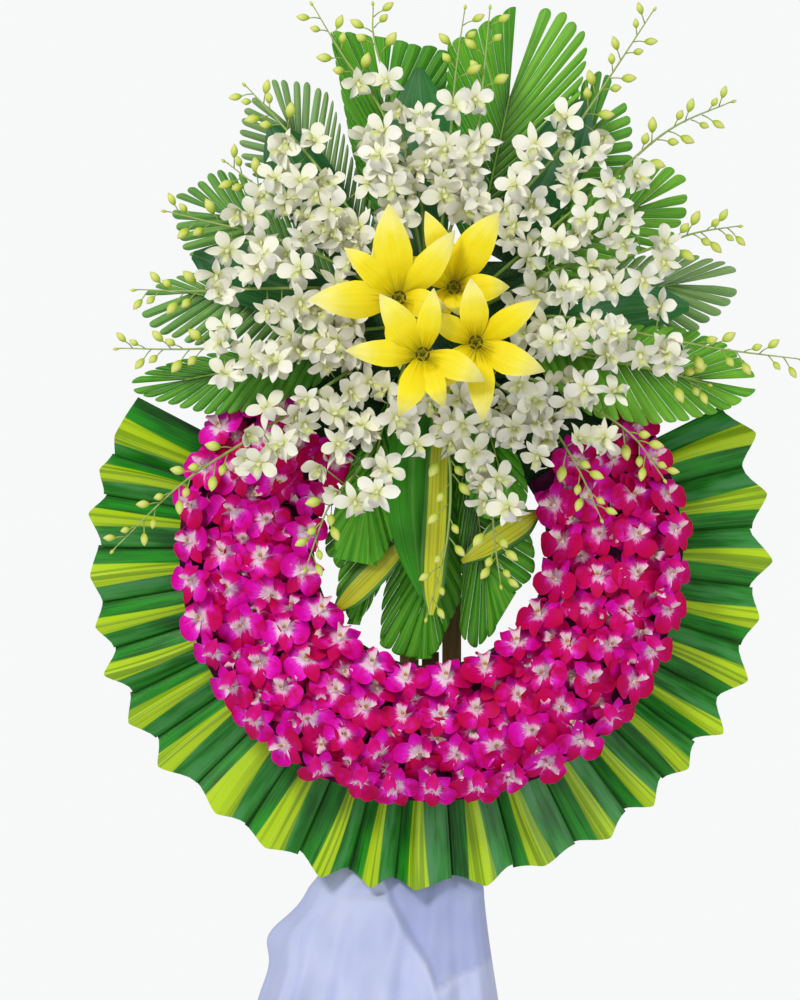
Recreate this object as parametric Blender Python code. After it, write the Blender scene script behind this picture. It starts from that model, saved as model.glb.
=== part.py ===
"""Standing funeral wreath: a flower ring with a leaf collar and a top spray, on a draped wooden stand.

Front faces -Y. The front view is laid out on a grid of 1.25 mm units: u runs right, v runs down,
and the centre of the ring is at (RING_U, RING_V).
"""

import math
import random

import bmesh
import bpy
from mathutils import Matrix, Vector

for item in list(bpy.data.objects):
    bpy.data.objects.remove(item, do_unlink=True)

# Layout
UNIT = 0.00125
RING_U = 431.0
RING_V = 550.0
RING_HEIGHT = 0.93
SHIFT_X = -0.0155
SHIFT_Y = 0.042
GAP = 0.0003
SPRAY_U = 435.0
SPRAY_V = 320.0

# Ring, radii in layout units, depths in metres
BED_INNER = 120.0
BED_OUTER = 252.0
BED_CROWN = 186.0
BED_START = 134.0
BED_SPAN = 260.0
BED_NODES = 6
FOAM_FRONT = -0.060
FOAM_BACK = -0.030
BLOOM_ROWS = ((133, 15), (169, 20), (206, 24), (242, 28))
BLOOM_RADIUS = 23.5

# Collar
COLLAR_INNER = 190.0
COLLAR_PLEAT = 0.013
LEAF_THICKNESS = 0.0014

# Rim peaks of the collar's leaves, in order round the rim
COLLAR_PEAKS = (
    (113, 435), (98, 469), (87, 514), (88, 577), (94, 628), (103, 676),
    (127, 725), (157, 768), (215, 815), (265, 850), (320, 880), (370, 890),
    (415, 893), (487, 888), (545, 868), (612, 840), (655, 808), (690, 770),
    (725, 735), (750, 682), (761, 620), (775, 562), (769, 494), (758, 433),
)
COLLAR_GROUPS = (6, 6, 6, 6)
COLLAR_FIRST = 152.5
COLLAR_LAST = 386.0

# Foam block
BLOCK_LEFT = 340.0
BLOCK_RIGHT = 530.0
BLOCK_TOP = 262.0
BLOCK_BOTTOM = 378.0
BLOCK_FRONT = -0.1200

MATERIALS = {
    "timber": ((0.42, 0.27, 0.14), 0.65),
    "bamboo": ((0.55, 0.42, 0.20), 0.60),
    "foam": ((0.10, 0.22, 0.09), 0.90),
    "cloth": ((0.72, 0.74, 0.90), 0.85),
    "collar_leaf": ((0.12, 0.38, 0.05), 0.40),
    "magenta_petal": ((0.62, 0.00, 0.22), 0.50),
    "white_petal": ((0.84, 0.85, 0.74), 0.50),
    "lily_petal": ((0.93, 0.74, 0.05), 0.45),
    "palm_leaf": ((0.05, 0.30, 0.03), 0.45),
    "dark_leaf": ((0.02, 0.17, 0.04), 0.35),
    "striped_leaf": ((0.45, 0.52, 0.02), 0.40),
}


def place(u, v, y=0.0):
    """A point of the layout grid, y metres behind the ring's plane."""
    return Vector(((u - RING_U) * UNIT + SHIFT_X, y + SHIFT_Y, RING_HEIGHT + (RING_V - v) * UNIT))


def polar(angle, radius, u0=RING_U, v0=RING_V):
    """Layout coordinates at an angle in degrees, anticlockwise from the right."""
    turn = math.radians(angle)
    return u0 + radius * math.cos(turn), v0 - radius * math.sin(turn)


def blend(stops, at):
    """Value at a position between sorted (position, value) stops."""
    for (a, first), (b, second) in zip(stops, stops[1:]):
        if at <= b:
            return first + (second - first) * max(0.0, (at - a) / (b - a))
    return stops[-1][1]


def along(points, at):
    """Point at a fraction of a polyline's stations."""
    span = at * (len(points) - 1)
    index = min(int(span), len(points) - 2)
    return points[index].lerp(points[index + 1], span - index)


def material_for(name, kind):
    colour, roughness = MATERIALS[kind]
    made = bpy.data.materials.new(name + "_" + kind)
    made.use_nodes = True
    shader = made.node_tree.nodes["Principled BSDF"]
    shader.inputs["Base Color"].default_value = (*colour, 1.0)
    shader.inputs["Roughness"].default_value = roughness
    made.diffuse_color = (*colour, 1.0)
    return made


def mesh_object(name, piece):
    """Object from (points, faces) with its faces turned outward."""
    points, faces = piece
    mesh = bpy.data.meshes.new(name)
    mesh.from_pydata([tuple(p) for p in points], [], faces)
    shape = bmesh.new()
    shape.from_mesh(mesh)
    bmesh.ops.recalc_face_normals(shape, faces=shape.faces)
    bmesh.ops.triangulate(shape, faces=[f for f in shape.faces if len(f.verts) > 4])
    if shape.calc_volume(signed=True) < 0:
        bmesh.ops.reverse_faces(shape, faces=shape.faces)
    shape.to_mesh(mesh)
    shape.free()
    made = bpy.data.objects.new(name, mesh)
    bpy.context.scene.collection.objects.link(made)
    return made


def apply_modifiers(target):
    """Turns the object's evaluated shape into its own mesh."""
    graph = bpy.context.evaluated_depsgraph_get()
    mesh = bpy.data.meshes.new_from_object(target.evaluated_get(graph))
    target.modifiers.clear()
    target.data = mesh


def keep_body(target):
    """Drops loose scraps and fills sealed hollows: only the largest shell stays."""
    shape = bmesh.new()
    shape.from_mesh(target.data)
    bmesh.ops.triangulate(shape, faces=shape.faces)
    left = set(shape.faces)
    shells = []
    while left:
        queue = [left.pop()]
        shell = list(queue)
        while queue:
            for edge in queue.pop().edges:
                for face in edge.link_faces:
                    if face in left:
                        left.remove(face)
                        shell.append(face)
                        queue.append(face)
        volume = 0.0
        for face in shell:
            a, b, c = (corner.co for corner in face.verts)
            volume += a.dot(b.cross(c)) / 6.0
        shells.append((volume, shell))
    shells.sort(key=lambda entry: entry[0], reverse=True)
    scraps = [face for _, shell in shells[1:] for face in shell]
    bmesh.ops.delete(shape, geom=scraps, context="FACES")
    loose = [vertex for vertex in shape.verts if not vertex.link_faces]
    bmesh.ops.delete(shape, geom=loose, context="VERTS")
    shape.to_mesh(target.data)
    shape.free()


def finish(target, kind, smooth=False):
    target.data.materials.clear()
    target.data.materials.append(material_for(target.name, kind))
    for face in target.data.polygons:
        face.use_smooth = smooth
    return target


def fused(name, kind, pieces, within=None, smooth=False):
    """One solid of several closed pieces, cut to the closed piece within where it is given."""
    target = mesh_object(name, pieces[0])
    if len(pieces) > 1:
        group = bpy.data.collections.new(name + "_repeats")
        bpy.context.scene.collection.children.link(group)
        for number, piece in enumerate(pieces[1:]):
            repeat = mesh_object(name + "_repeat_" + str(number), piece)
            bpy.context.scene.collection.objects.unlink(repeat)
            group.objects.link(repeat)
        union = target.modifiers.new("union", "BOOLEAN")
        union.operation = "UNION"
        union.operand_type = "COLLECTION"
        union.collection = group
        union.solver = "MANIFOLD"
        apply_modifiers(target)
        for repeat in list(group.objects):
            bpy.data.objects.remove(repeat, do_unlink=True)
        bpy.data.collections.remove(group)
    if within:
        bound = mesh_object(name + "_bound", within)
        cut = target.modifiers.new("cut", "BOOLEAN")
        cut.operation = "INTERSECT"
        cut.object = bound
        cut.solver = "MANIFOLD"
        apply_modifiers(target)
        bpy.data.objects.remove(bound, do_unlink=True)
    keep_body(target)
    return finish(target, kind, smooth)


def sheet(rows, offset):
    """Closed blade: a grid of points and the same grid moved by the offset, split alike on both faces."""
    high = len(rows)
    wide = len(rows[0])
    front = [Vector(p) for row in rows for p in row]
    if isinstance(offset, Vector):
        back = [p + offset for p in front]
    else:
        back = [p + shift for p, shift in zip(front, offset)]
    count = high * wide
    faces = []
    for r in range(high - 1):
        for c in range(wide - 1):
            a = r * wide + c
            b = a + 1
            d = a + wide
            e = d + 1
            faces += [(a, b, e), (a, e, d)]
            faces += [(count + a, count + e, count + b), (count + a, count + d, count + e)]
    rim = [(0, c) for c in range(wide)]
    rim += [(r, wide - 1) for r in range(1, high)]
    rim += [(high - 1, c) for c in range(wide - 2, -1, -1)]
    rim += [(r, 0) for r in range(high - 2, 0, -1)]
    ring = [r * wide + c for r, c in rim]
    for a, b in zip(ring, ring[1:] + ring[:1]):
        faces.append((b, a, count + a, count + b))
    return front + back, faces


def tube(points, radii, sides=4):
    """Closed stem along points, with its radius at each and a point where that is 0."""
    verts = []
    faces = []
    previous = None
    for index, point in enumerate(points):
        ahead = points[min(index + 1, len(points) - 1)]
        behind = points[max(index - 1, 0)]
        axis = (ahead - behind).normalized()
        side = axis.cross(Vector((0.31, 0.90, 0.20))).normalized()
        other = axis.cross(side)
        if radii[index] == 0:
            ring = [len(verts)]
            verts.append(point.copy())
        else:
            ring = []
            for k in range(sides):
                turn = 2 * math.pi * k / sides
                ring.append(len(verts))
                verts.append(point + (side * math.cos(turn) + other * math.sin(turn)) * radii[index])
        if previous is not None:
            for k in range(sides):
                n = (k + 1) % sides
                if len(ring) == 1:
                    faces.append((previous[k], previous[n], ring[0]))
                elif len(previous) == 1:
                    faces.append((previous[0], ring[n], ring[k]))
                else:
                    faces.append((previous[k], previous[n], ring[n], ring[k]))
        previous = ring
        if index == 0 and len(ring) > 1:
            faces.append(tuple(reversed(ring)))
    if len(previous) > 1:
        faces.append(tuple(previous))
    return verts, faces


def beam(start, end, width, depth, side=Vector((1, 0, 0))):
    """Square-cut batten between two points, width along its side direction."""
    axis = (end - start).normalized()
    across = (side - axis * side.dot(axis)).normalized() * width / 2
    deep = axis.cross(across).normalized() * depth / 2
    verts = []
    for centre in (start, end):
        for a, b in ((-1, -1), (1, -1), (1, 1), (-1, 1)):
            verts.append(centre + across * a + deep * b)
    faces = [(0, 1, 2, 3), (4, 5, 6, 7), (0, 1, 5, 4), (1, 2, 6, 5), (2, 3, 7, 6), (3, 0, 4, 7)]
    return verts, faces


def box(u0, u1, v0, v1, y0, y1):
    low = place(u0, v1, y0)
    high = place(u1, v0, y1)
    verts = [Vector((x, y, z)) for x in (low.x, high.x) for y in (low.y, high.y) for z in (low.z, high.z)]
    faces = [(0, 1, 3, 2), (4, 5, 7, 6), (0, 1, 5, 4), (2, 3, 7, 6), (0, 2, 6, 4), (1, 3, 7, 5)]
    return verts, faces


def wedge(first, last, u0, v0, reach, y0, y1):
    """Prism between two angles round a centre, kept half a gap off both planes."""
    half = math.radians((last - first) / 2)
    middle = (first + last) / 2
    tip = polar(middle, GAP / 2 / math.sin(half) / UNIT, u0, v0)
    outline = [tip]
    for angle in (first, middle, last):
        outline.append(polar(angle, reach / math.cos(half) if angle == middle else reach, *tip))
    verts = [place(u, v, y) for y in (y0, y1) for u, v in outline]
    faces = [(0, 1, 2, 3), (4, 5, 6, 7), (0, 1, 5, 4), (1, 2, 6, 5), (2, 3, 7, 6), (3, 0, 4, 7)]
    return verts, faces


def band(r0, r1, y0, y1, sides=40):
    """Flat ring of rectangular section round the ring's centre."""
    verts = []
    faces = []
    for k in range(sides):
        for radius, y in ((r0, y0), (r1, y0), (r1, y1), (r0, y1)):
            verts.append(place(*polar(360 * k / sides, radius), y))
        n = (k + 1) % sides
        for c in range(4):
            d = (c + 1) % 4
            faces.append((4 * k + c, 4 * k + d, 4 * n + d, 4 * n + c))
    return verts, faces


# Stand


def build_stand():
    """Ladder of two uprights, a rear strut and a floor base of three bars."""
    deep = 0.0425 + SHIFT_Y
    half = 0.027
    middle = SHIFT_X
    pieces = []
    for side in (-half, half):
        foot = Vector((middle + side, deep, 0.0253))
        top = Vector((middle + side, deep, 1.24))
        pieces.append(beam(foot, top, 0.024, 0.024))
    for height in (0.20, 0.45, 0.74, 1.00, 1.20):
        left = Vector((middle - half, deep, height))
        right = Vector((middle + half, deep, height))
        pieces.append(beam(left, right, 0.022, 0.020, Vector((0, 0, 1))))
    fused("stand_uprights", "timber", pieces)

    front = Vector((middle, -0.205 + SHIFT_Y, 0.0125))
    back = Vector((middle, 0.232 + SHIFT_Y, 0.0125))
    bars = [beam(front, back, 0.034, 0.025)]
    for y, reach in ((-0.19, 0.19), (0.0425, 0.16), (0.217, 0.19)):
        left = Vector((middle - reach, y + SHIFT_Y, 0.0125))
        right = Vector((middle + reach, y + SHIFT_Y, 0.0125))
        bars.append(beam(left, right, 0.034, 0.0248, Vector((0, 1, 0))))
    fused("stand_base", "timber", bars)

    low = Vector((middle, 0.215 + SHIFT_Y, 0.0253))
    high = Vector((middle, 0.0548 + SHIFT_Y, 0.76))
    strut = beam(low + (low - high) * 0.05, high + (high - low) * 0.05, 0.022, 0.020)
    space = (
        [
            Vector((x, y, z))
            for x in (middle - 0.05, middle + 0.05)
            for y in (0.0548 + SHIFT_Y, 0.30)
            for z in (0.0253, 0.80)
        ],
        [(0, 1, 3, 2), (4, 5, 7, 6), (0, 1, 5, 4), (2, 3, 7, 6), (0, 2, 6, 4), (1, 3, 7, 5)],
    )
    fused("stand_strut", "timber", [strut], within=space)


def build_hoop():
    """Bamboo hoops behind the ring: the inner one carries the foam and, on slats, the outer one."""
    fused("hoop_inner", "bamboo", [band(132, 152, FOAM_BACK + GAP, 0.030, 18)])
    pieces = [band(228, 246, 0.012, 0.030, 18)]
    flat = 152 * math.cos(math.radians(10)) + GAP / UNIT
    for k in range(6):
        angle = 30 + 60 * k
        start = place(*polar(angle, flat), 0.021)
        end = place(*polar(angle, 237), 0.021)
        pieces.append(beam(start, end, 0.020, 0.010, Vector((0, 1, 0)).cross(end - start)))
    fused("hoop_outer", "bamboo", pieces)


def build_foam():
    fused("foam_ring", "foam", [band(118, 254, FOAM_FRONT, FOAM_BACK, 28)])
    block = box(BLOCK_LEFT, BLOCK_RIGHT, BLOCK_TOP, BLOCK_BOTTOM, BLOCK_FRONT, FOAM_FRONT - GAP)
    fused("foam_block", "foam", [block])


def build_drape():
    """Cloth hung from the uprights: deep soft folds in front, open behind."""
    rows = []
    levels = (
        (0.580, -0.106, 0.050, 0.020, 0.004),
        (0.500, -0.170, 0.052, 0.016, 0.008),
        (0.350, -0.236, 0.072, -0.040, 0.016),
        (0.250, -0.250, 0.100, -0.080, 0.019),
        (0.140, -0.262, 0.140, -0.115, 0.022),
        (0.040, -0.268, 0.170, -0.140, 0.024),
    )
    columns = 22
    for height, left, right, front, fold in levels:
        row = []
        centre = (left + right) / 2
        reach = (right - left) / 2
        back = 0.050 if height > 0.45 else 0.075
        deep = back - front
        for c in range(columns + 1):
            at = c / columns
            turn = math.pi * (1 + at)
            bulge = 1 + fold * 4 * math.sin(2 * math.pi * 6.5 * at + 0.8 * math.sin(5 * height + 3 * at))
            x = centre + reach * math.cos(turn) * (1 + fold * math.sin(2 * math.pi * 5 * at))
            y = back + deep * math.copysign(abs(math.sin(turn)) ** 0.55, math.sin(turn)) * bulge
            if height > 0.49:
                y = min(max(y, 0.0175), 0.0285) if abs(x - SHIFT_X) < 0.07 else max(y, 0.0175)
            if height > 0.57 and abs(x - SHIFT_X) < 0.06:
                y = 0.0288
            row.append(Vector((x, y + SHIFT_Y, height)))
        rows.append(row)
    offset = []
    for r, row in enumerate(rows):
        for c, point in enumerate(row):
            a = row[max(c - 1, 0)]
            b = row[min(c + 1, columns)]
            side = (b - a).cross(Vector((0, 0, 1))).normalized()
            offset.append(side * -0.0014)
    fused("drape_cloth", "cloth", [sheet(rows, offset)], smooth=True)


# Collar


def collar_angles():
    """Angle and rim radius of each leaf's ridge, and the angles of the valleys between."""
    ridges = []
    for u, v in COLLAR_PEAKS:
        angle = math.degrees(math.atan2(RING_V - v, u - RING_U))
        reach = math.hypot(u - RING_U, v - RING_V) + 2
        ridges.append((angle % 360 if angle > 90 else angle + 360, reach))
    turns = [angle for angle, _ in ridges]
    edges = [COLLAR_FIRST]
    edges += [(a + b) / 2 for a, b in zip(turns, turns[1:])]
    edges.append(COLLAR_LAST)
    return ridges, edges


def build_collar():
    ridges, edges = collar_angles()
    first = 0
    for number, size in enumerate(COLLAR_GROUPS):
        columns = []
        for k in range(first, first + size):
            angle, reach = ridges[k]
            low = edges[k]
            high = edges[k + 1]
            margin = math.degrees(GAP / UNIT / COLLAR_INNER)
            start = low + (margin if k == first else 0.0)
            left = (start - angle) * 0.62 + angle
            end = high - 0.10 * (high - angle)
            valley = 331 + 5 * math.cos(math.radians(angle - 205)) + 2 * math.sin(2.3 * k)
            columns.append((start, valley, 0.95))
            columns.append((left, (valley + reach) / 2 - 1, 0.25))
            columns.append((angle, reach, -1.0))
            columns.append((end, valley + 5, 0.35))
        columns.append((edges[first + size], 331 + 5 * math.cos(math.radians(angle - 205)), 0.55))
        rows = []
        for radius, swell in ((COLLAR_INNER, 0.25), (258.0, 0.80), (None, 1.0)):
            row = []
            for angle, rim, lift in columns:
                y = 0.0016 + COLLAR_PLEAT * lift * swell
                row.append(place(*polar(angle, radius or rim), y))
            rows.append(row)
        fused("collar_" + str(number + 1), "collar_leaf", [sheet(rows, Vector((0, LEAF_THICKNESS, 0)))])
        first += size


# Orchids


def bloom(centre, facing, roll, radius, root, broad=30, cup=0.08):
    """Orchid head on its stalk: two broad blunt petals, three pointed sepals and a raised lip."""
    facing = facing.normalized()
    side = facing.cross(Vector((0, 0, 1))).normalized()
    up = side.cross(facing)
    frame = Matrix((side, up, facing)).transposed()
    spin = Matrix.Rotation(roll, 3, "Z")
    outline = []
    petals = ((-126, 0, -90), (-54, 0, -20), (15, broad, 57), (90, 0, 123), (165, broad, 200))
    for angle, half, notch in petals:
        if half:
            outline += [(angle - half, 0.92, cup), (angle + half, 0.92, cup)]
        else:
            outline.append((angle, 1.0, -cup * 0.6))
        outline.append((notch, 0.46, -0.05))
    verts = []
    for turn, reach, height in outline:
        turn = math.radians(turn)
        verts.append(Vector((math.cos(turn) * reach, math.sin(turn) * reach, height)))
    count = len(verts)
    verts.append(Vector((0.0, -0.10, 0.22)))
    for k in range(3):
        turn = math.radians(-90 + 120 * k)
        verts.append(Vector((math.cos(turn) * 0.11, math.sin(turn) * 0.11, -0.13)))
    verts = [centre + frame @ (spin @ vert) * radius for vert in verts]
    verts.append(root)
    neck = [count + 1, count + 2, count + 3]
    faces = []
    nearest = [min(int(((turn + 150) % 360) / 120), 2) for turn, _, _ in outline]
    for k in range(count):
        n = (k + 1) % count
        faces.append((k, n, count))
        faces.append((n, k, neck[nearest[k]]))
        if nearest[n] != nearest[k]:
            faces.append((n, neck[nearest[k]], neck[nearest[n]]))
    for k in range(3):
        n = (k + 1) % 3
        faces.append((neck[k], neck[n], count + 4))
    return verts, faces


def bed_depth(radius):
    """Depth of the orchid bed's domed front at a radius."""
    across = (radius - BED_CROWN) / 76.0
    return FOAM_FRONT - 0.004 - 0.024 * math.sqrt(max(0.0, 1 - across * across))


def bed_blooms():
    """Heads of the bed in brick pattern: angle, radius from the ring's centre, roll and size."""
    chance = random.Random(7)
    heads = []
    for row, (radius, count) in enumerate(BLOOM_ROWS):
        for k in range(count):
            part = (k + 0.5 + (0.25 if row % 2 else -0.25)) / count
            angle = BED_START + BED_SPAN * part + chance.uniform(-1.0, 1.0) * 160 / radius
            distance = radius + chance.uniform(-3.5, 3.5)
            size = BLOOM_RADIUS * chance.uniform(0.93, 1.07)
            heads.append((angle, distance, chance.uniform(-math.pi, math.pi), size, chance.random()))
    return heads


def build_beds():
    heads = bed_blooms()
    step = BED_SPAN / BED_NODES
    for number in range(BED_NODES):
        first = BED_START + step * number
        section = [(BED_INNER, 0.0)]
        for radius in (BED_INNER, 150, BED_CROWN, 222, BED_OUTER):
            section.append((radius, bed_depth(radius) + 0.004 - FOAM_FRONT + GAP))
        section.append((BED_OUTER, 0.0))
        stations = 5
        verts = []
        faces = []
        for s in range(stations + 1):
            angle = first + 0.03 + (step - 0.06) * s / stations
            for radius, lift in section:
                verts.append(place(*polar(angle, radius), FOAM_FRONT - GAP + lift))
        wide = len(section)
        for s in range(stations):
            for c in range(wide):
                d = (c + 1) % wide
                faces.append((s * wide + c, s * wide + d, s * wide + wide + d, s * wide + wide + c))
        faces.append(tuple(range(wide)))
        faces.append(tuple(range(stations * wide, stations * wide + wide)))
        pieces = [(verts, faces)]
        for angle, radius, roll, size, draw in heads:
            if first <= angle < first + step:
                tilt = math.radians((radius - BED_CROWN) / 60.0 * 42)
                outward = Vector((math.cos(math.radians(angle)), 0, math.sin(math.radians(angle))))
                facing = outward * math.sin(tilt) + Vector((0, -1, 0)) * math.cos(tilt)
                sway = outward.cross(Vector((0, 1, 0))) * (0.10 + 0.10 * draw) + outward * 0.05
                centre = place(*polar(angle, radius), bed_depth(radius) - 0.0060)
                root = centre - facing * 0.024
                pieces.append(bloom(centre, facing + sway, roll, size * UNIT, root))
        bound = wedge(first, first + step, RING_U, RING_V, 330, -0.20, FOAM_FRONT - GAP)
        fused("orchid_bed_" + str(number + 1), "magenta_petal", pieces, within=bound)


# Leaves


def blade(spine, widths, fold=0.0, wave=0.0, thick=LEAF_THICKNESS):
    """Leaf along layout points (u, v, y) with half widths, its edges folded back."""
    rows = []
    for index, (u, v, y) in enumerate(spine):
        ahead = spine[min(index + 1, len(spine) - 1)]
        behind = spine[max(index - 1, 0)]
        du = ahead[0] - behind[0]
        dv = ahead[1] - behind[1]
        length = math.hypot(du, dv)
        half = widths[index]
        row = []
        for side in (-1, 0, 1):
            ripple = wave * math.sin(2.4 * index + side)
            edge = y + (fold * half * UNIT + ripple) * abs(side)
            row.append(place(u - dv / length * half * side, v + du / length * half * side, edge))
        rows.append(row)
    return sheet(rows, Vector((0, thick, 0)))


def frond(base, tip, count, left, right, pleat=0.0022, cut=0.91, thick=0.0012):
    """Palm frond: pleated leaflets from the rib to the rims at both sides, notched where they part."""
    foot = Vector(base)
    head = Vector(tip)
    rims = [[Vector((u, v, 0)) for u, v in rim] for rim in (left, right)]
    total = 2 * count
    columns = []
    for k in range(total + 1):
        at = k / total
        ridge = k % 2 == 1
        rib = foot.lerp(head, at)
        column = []
        for rim in rims:
            end = rib.lerp(along(rim, at), 1.0 if ridge else cut)
            end.z = rib.z + (-pleat if ridge else pleat)
            column.append(end)
        columns.append((column[0], rib - Vector((0, 0, pleat)), column[1]))
    return sheet([[place(*point) for point in column] for column in columns], Vector((0, thick, 0)))


# Depth of a frond's rib at its base and its tip, in three layers behind the sprays
LAYERS = {"back": (-0.0690, -0.0200), "middle": (-0.0780, -0.0540), "front": (-0.1130, -0.1130)}

# Fronds: base and tip of the rib, layer, leaflets a side, and the rims of the leaflets on the
# anticlockwise and the clockwise side, from the base of the rib to its tip
FRONDS = (
    ("frond_top_left", (404, 261.6), (384, 100), "back", 7,
     ((362, 200), (345, 120), (328, 22), (350, 27), (372, 31)),
     ((425, 215), (436, 140), (441, 45), (418, 40), (394, 34))),
    ("frond_top_right", (474, 261.6), (510, 95), "middle", 9,
     ((452, 215), (446, 130), (447, 36), (472, 26), (496, 11), (517, 2)),
     ((520, 210), (572, 140), (590, 60), (591, 28), (568, 8), (543, 1))),
    ("frond_upper_left", (370, 261.6), (286, 120), "middle", 7,
     ((330, 254), (282, 215), (240, 160), (238, 132), (240, 110), (254, 92)),
     ((378, 215), (350, 150), (330, 88), (305, 79), (284, 75), (266, 76))),
    ("frond_left", (339.6, 285), (222, 212), "back", 7,
     ((318, 300), (262, 292), (200, 262), (181, 250), (172, 226), (169, 206)),
     ((330, 255), (290, 215), (246, 172), (216, 164), (192, 180), (171, 194))),
    ("frond_left_low", (339.6, 320), (190, 292), "middle", 7,
     ((318, 345), (250, 352), (190, 345), (157, 333), (146, 324), (137, 310)),
     ((318, 300), (260, 280), (215, 268), (180, 272), (158, 280), (138, 296))),
    ("frond_left_bottom", (339.6, 350), (185, 380), "front", 8,
     ((320, 385), (262, 412), (205, 416), (165, 404), (140, 396), (129, 389)),
     ((320, 345), (262, 345), (215, 352), (172, 362), (142, 372), (129, 384))),
    ("frond_right_top", (506, 261.6), (598, 120), "back", 7,
     ((505, 215), (535, 150), (566, 95), (590, 70), (608, 64), (616, 74)),
     ((545, 256), (600, 225), (640, 165), (634, 142), (636, 124), (628, 94))),
    ("frond_right_upper", (530.3, 275), (640, 205), "middle", 7,
     ((535, 240), (585, 190), (632, 158), (653, 156), (675, 165), (692, 178)),
     ((560, 285), (625, 262), (672, 240), (686, 224), (689, 208), (692, 188))),
    ("frond_right", (530.3, 305), (680, 282), "back", 8,
     ((545, 275), (610, 258), (680, 248), (715, 256), (738, 262), (744, 270)),
     ((560, 325), (640, 338), (692, 336), (718, 318), (735, 302), (744, 284))),
    ("frond_right_bottom", (530.3, 346), (700, 380), "front", 9,
     ((550, 322), (620, 322), (690, 328), (728, 344), (746, 362), (757, 378)),
     ((548, 385), (590, 418), (650, 427), (700, 420), (738, 407), (757, 390))),
)

# Palm leaves hanging in the hole, written as the fronds, each with its own depths
HOLE_PALMS = (
    ("hole_fan_middle", (430, 378.5, -0.0715), (428, 600, -0.0220), 6,
     ((450, 430), (462, 520), (466, 590), (447, 636), (438, 657), (429, 660)),
     ((410, 430), (400, 520), (380, 604), (378, 646), (400, 659), (418, 661))),
    ("hole_fan_left", (404, 378.5, -0.0780), (376, 570, -0.0480), 6,
     ((416, 430), (410, 500), (394, 560), (371, 600), (355, 627)),
     ((376, 430), (350, 482), (328, 523), (322, 552), (338, 570), (335, 600), (350, 625))),
    ("hole_fan_right", (460, 378.5, -0.0780), (486, 570, -0.0480), 6,
     ((492, 425), (520, 455), (527, 484), (526, 518), (538, 551), (535, 580), (513, 595)),
     ((446, 430), (456, 500), (462, 570), (459, 640), (478, 652), (498, 630))),
    ("hole_palm_left", (394, 378.5, -0.0860), (366, 500, -0.0860), 5,
     ((404, 420), (402, 470), (398, 520), (388, 556), (372, 566)),
     ((376, 425), (352, 460), (338, 497), (328, 528), (337, 558))),
    ("hole_palm_right", (474, 378.5, -0.0860), (500, 470, -0.0860), 5,
     ((492, 415), (512, 445), (525, 470), (530, 494), (524, 510)),
     ((462, 420), (460, 460), (468, 500), (482, 522), (505, 518))),
)

# Broad leaves: spine of layout points, half widths at each
BROAD_LEAVES = (
    ("broad_leaf_top",
     ((430, 261.3, -0.0970), (424, 205, -0.0930), (421, 150, -0.0870), (420, 105, -0.0810),
      (419, 66, -0.0740)),
     (4, 24, 32, 26, 4)),
    ("broad_leaf_left",
     ((352, 259.5, -0.0960), (328, 220, -0.0920), (303, 180, -0.0860), (284, 148, -0.0800),
      (270, 124, -0.0750)),
     (4, 26, 32, 24, 4)),
    ("broad_leaf_right",
     ((500, 259.8, -0.0960), (526, 215, -0.0920), (550, 170, -0.0860), (572, 128, -0.0790),
      (586, 98, -0.0730)),
     (4, 26, 32, 24, 4)),
    ("broad_leaf_side_left",
     ((338.7, 302, -0.0960), (295, 290, -0.0920), (250, 275, -0.0860), (216, 263, -0.0800),
      (192, 254, -0.0750)),
     (4, 28, 31, 22, 4)),
    ("broad_leaf_side_right",
     ((530.8, 325, -0.0960), (580, 315, -0.0920), (625, 308, -0.0860), (660, 306, -0.0800),
      (690, 306, -0.0750)),
     (4, 26, 30, 20, 4)),
)

# Leaves in the hole of the ring
HOLE_LEAVES = (
    ("hole_leaf_green", "palm_leaf",
     ((418, 379.0, -0.1000), (414, 440, -0.1010), (412, 500, -0.1010), (416, 550, -0.1000),
      (422, 596, -0.0990)),
     (12, 23, 26, 19, 3)),
    ("hole_leaf_striped", "striped_leaf",
     ((445, 379.0, -0.1110), (440, 440, -0.1120), (437, 510, -0.1120), (433, 580, -0.1110),
      (431, 615, -0.1100)),
     (9, 12, 14, 13, 3)),
    ("hole_leaf_left", "striped_leaf",
     ((333.4, 612.8, -0.0580), (350, 597, -0.0690), (372, 575, -0.0720), (392, 555, -0.0745),
      (410, 538, -0.0750)),
     (2.5, 12, 14, 11, 3)),
    ("hole_leaf_right", "striped_leaf",
     ((540.6, 511.7, -0.0580), (523, 523, -0.0725), (504, 535, -0.0740), (484, 548, -0.0750),
      (462, 562, -0.0755)),
     (2.5, 14, 16, 13, 3)),
)


def build_leaves():
    for name, base, tip, layer, count, left, right in FRONDS:
        near, far = LAYERS[layer]
        fused(name, "palm_leaf", [frond((*base, near), (*tip, far), count, left, right)])
    for name, base, tip, count, left, right in HOLE_PALMS:
        fused(name, "palm_leaf", [frond(base, tip, count, left, right)])
    for name, spine, widths in BROAD_LEAVES:
        fused(name, "dark_leaf", [blade(spine, widths, 0.10, 0.0010)])
    for name, kind, spine, widths in HOLE_LEAVES:
        fused(name, kind, [blade(spine, widths, 0.12)])


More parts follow.
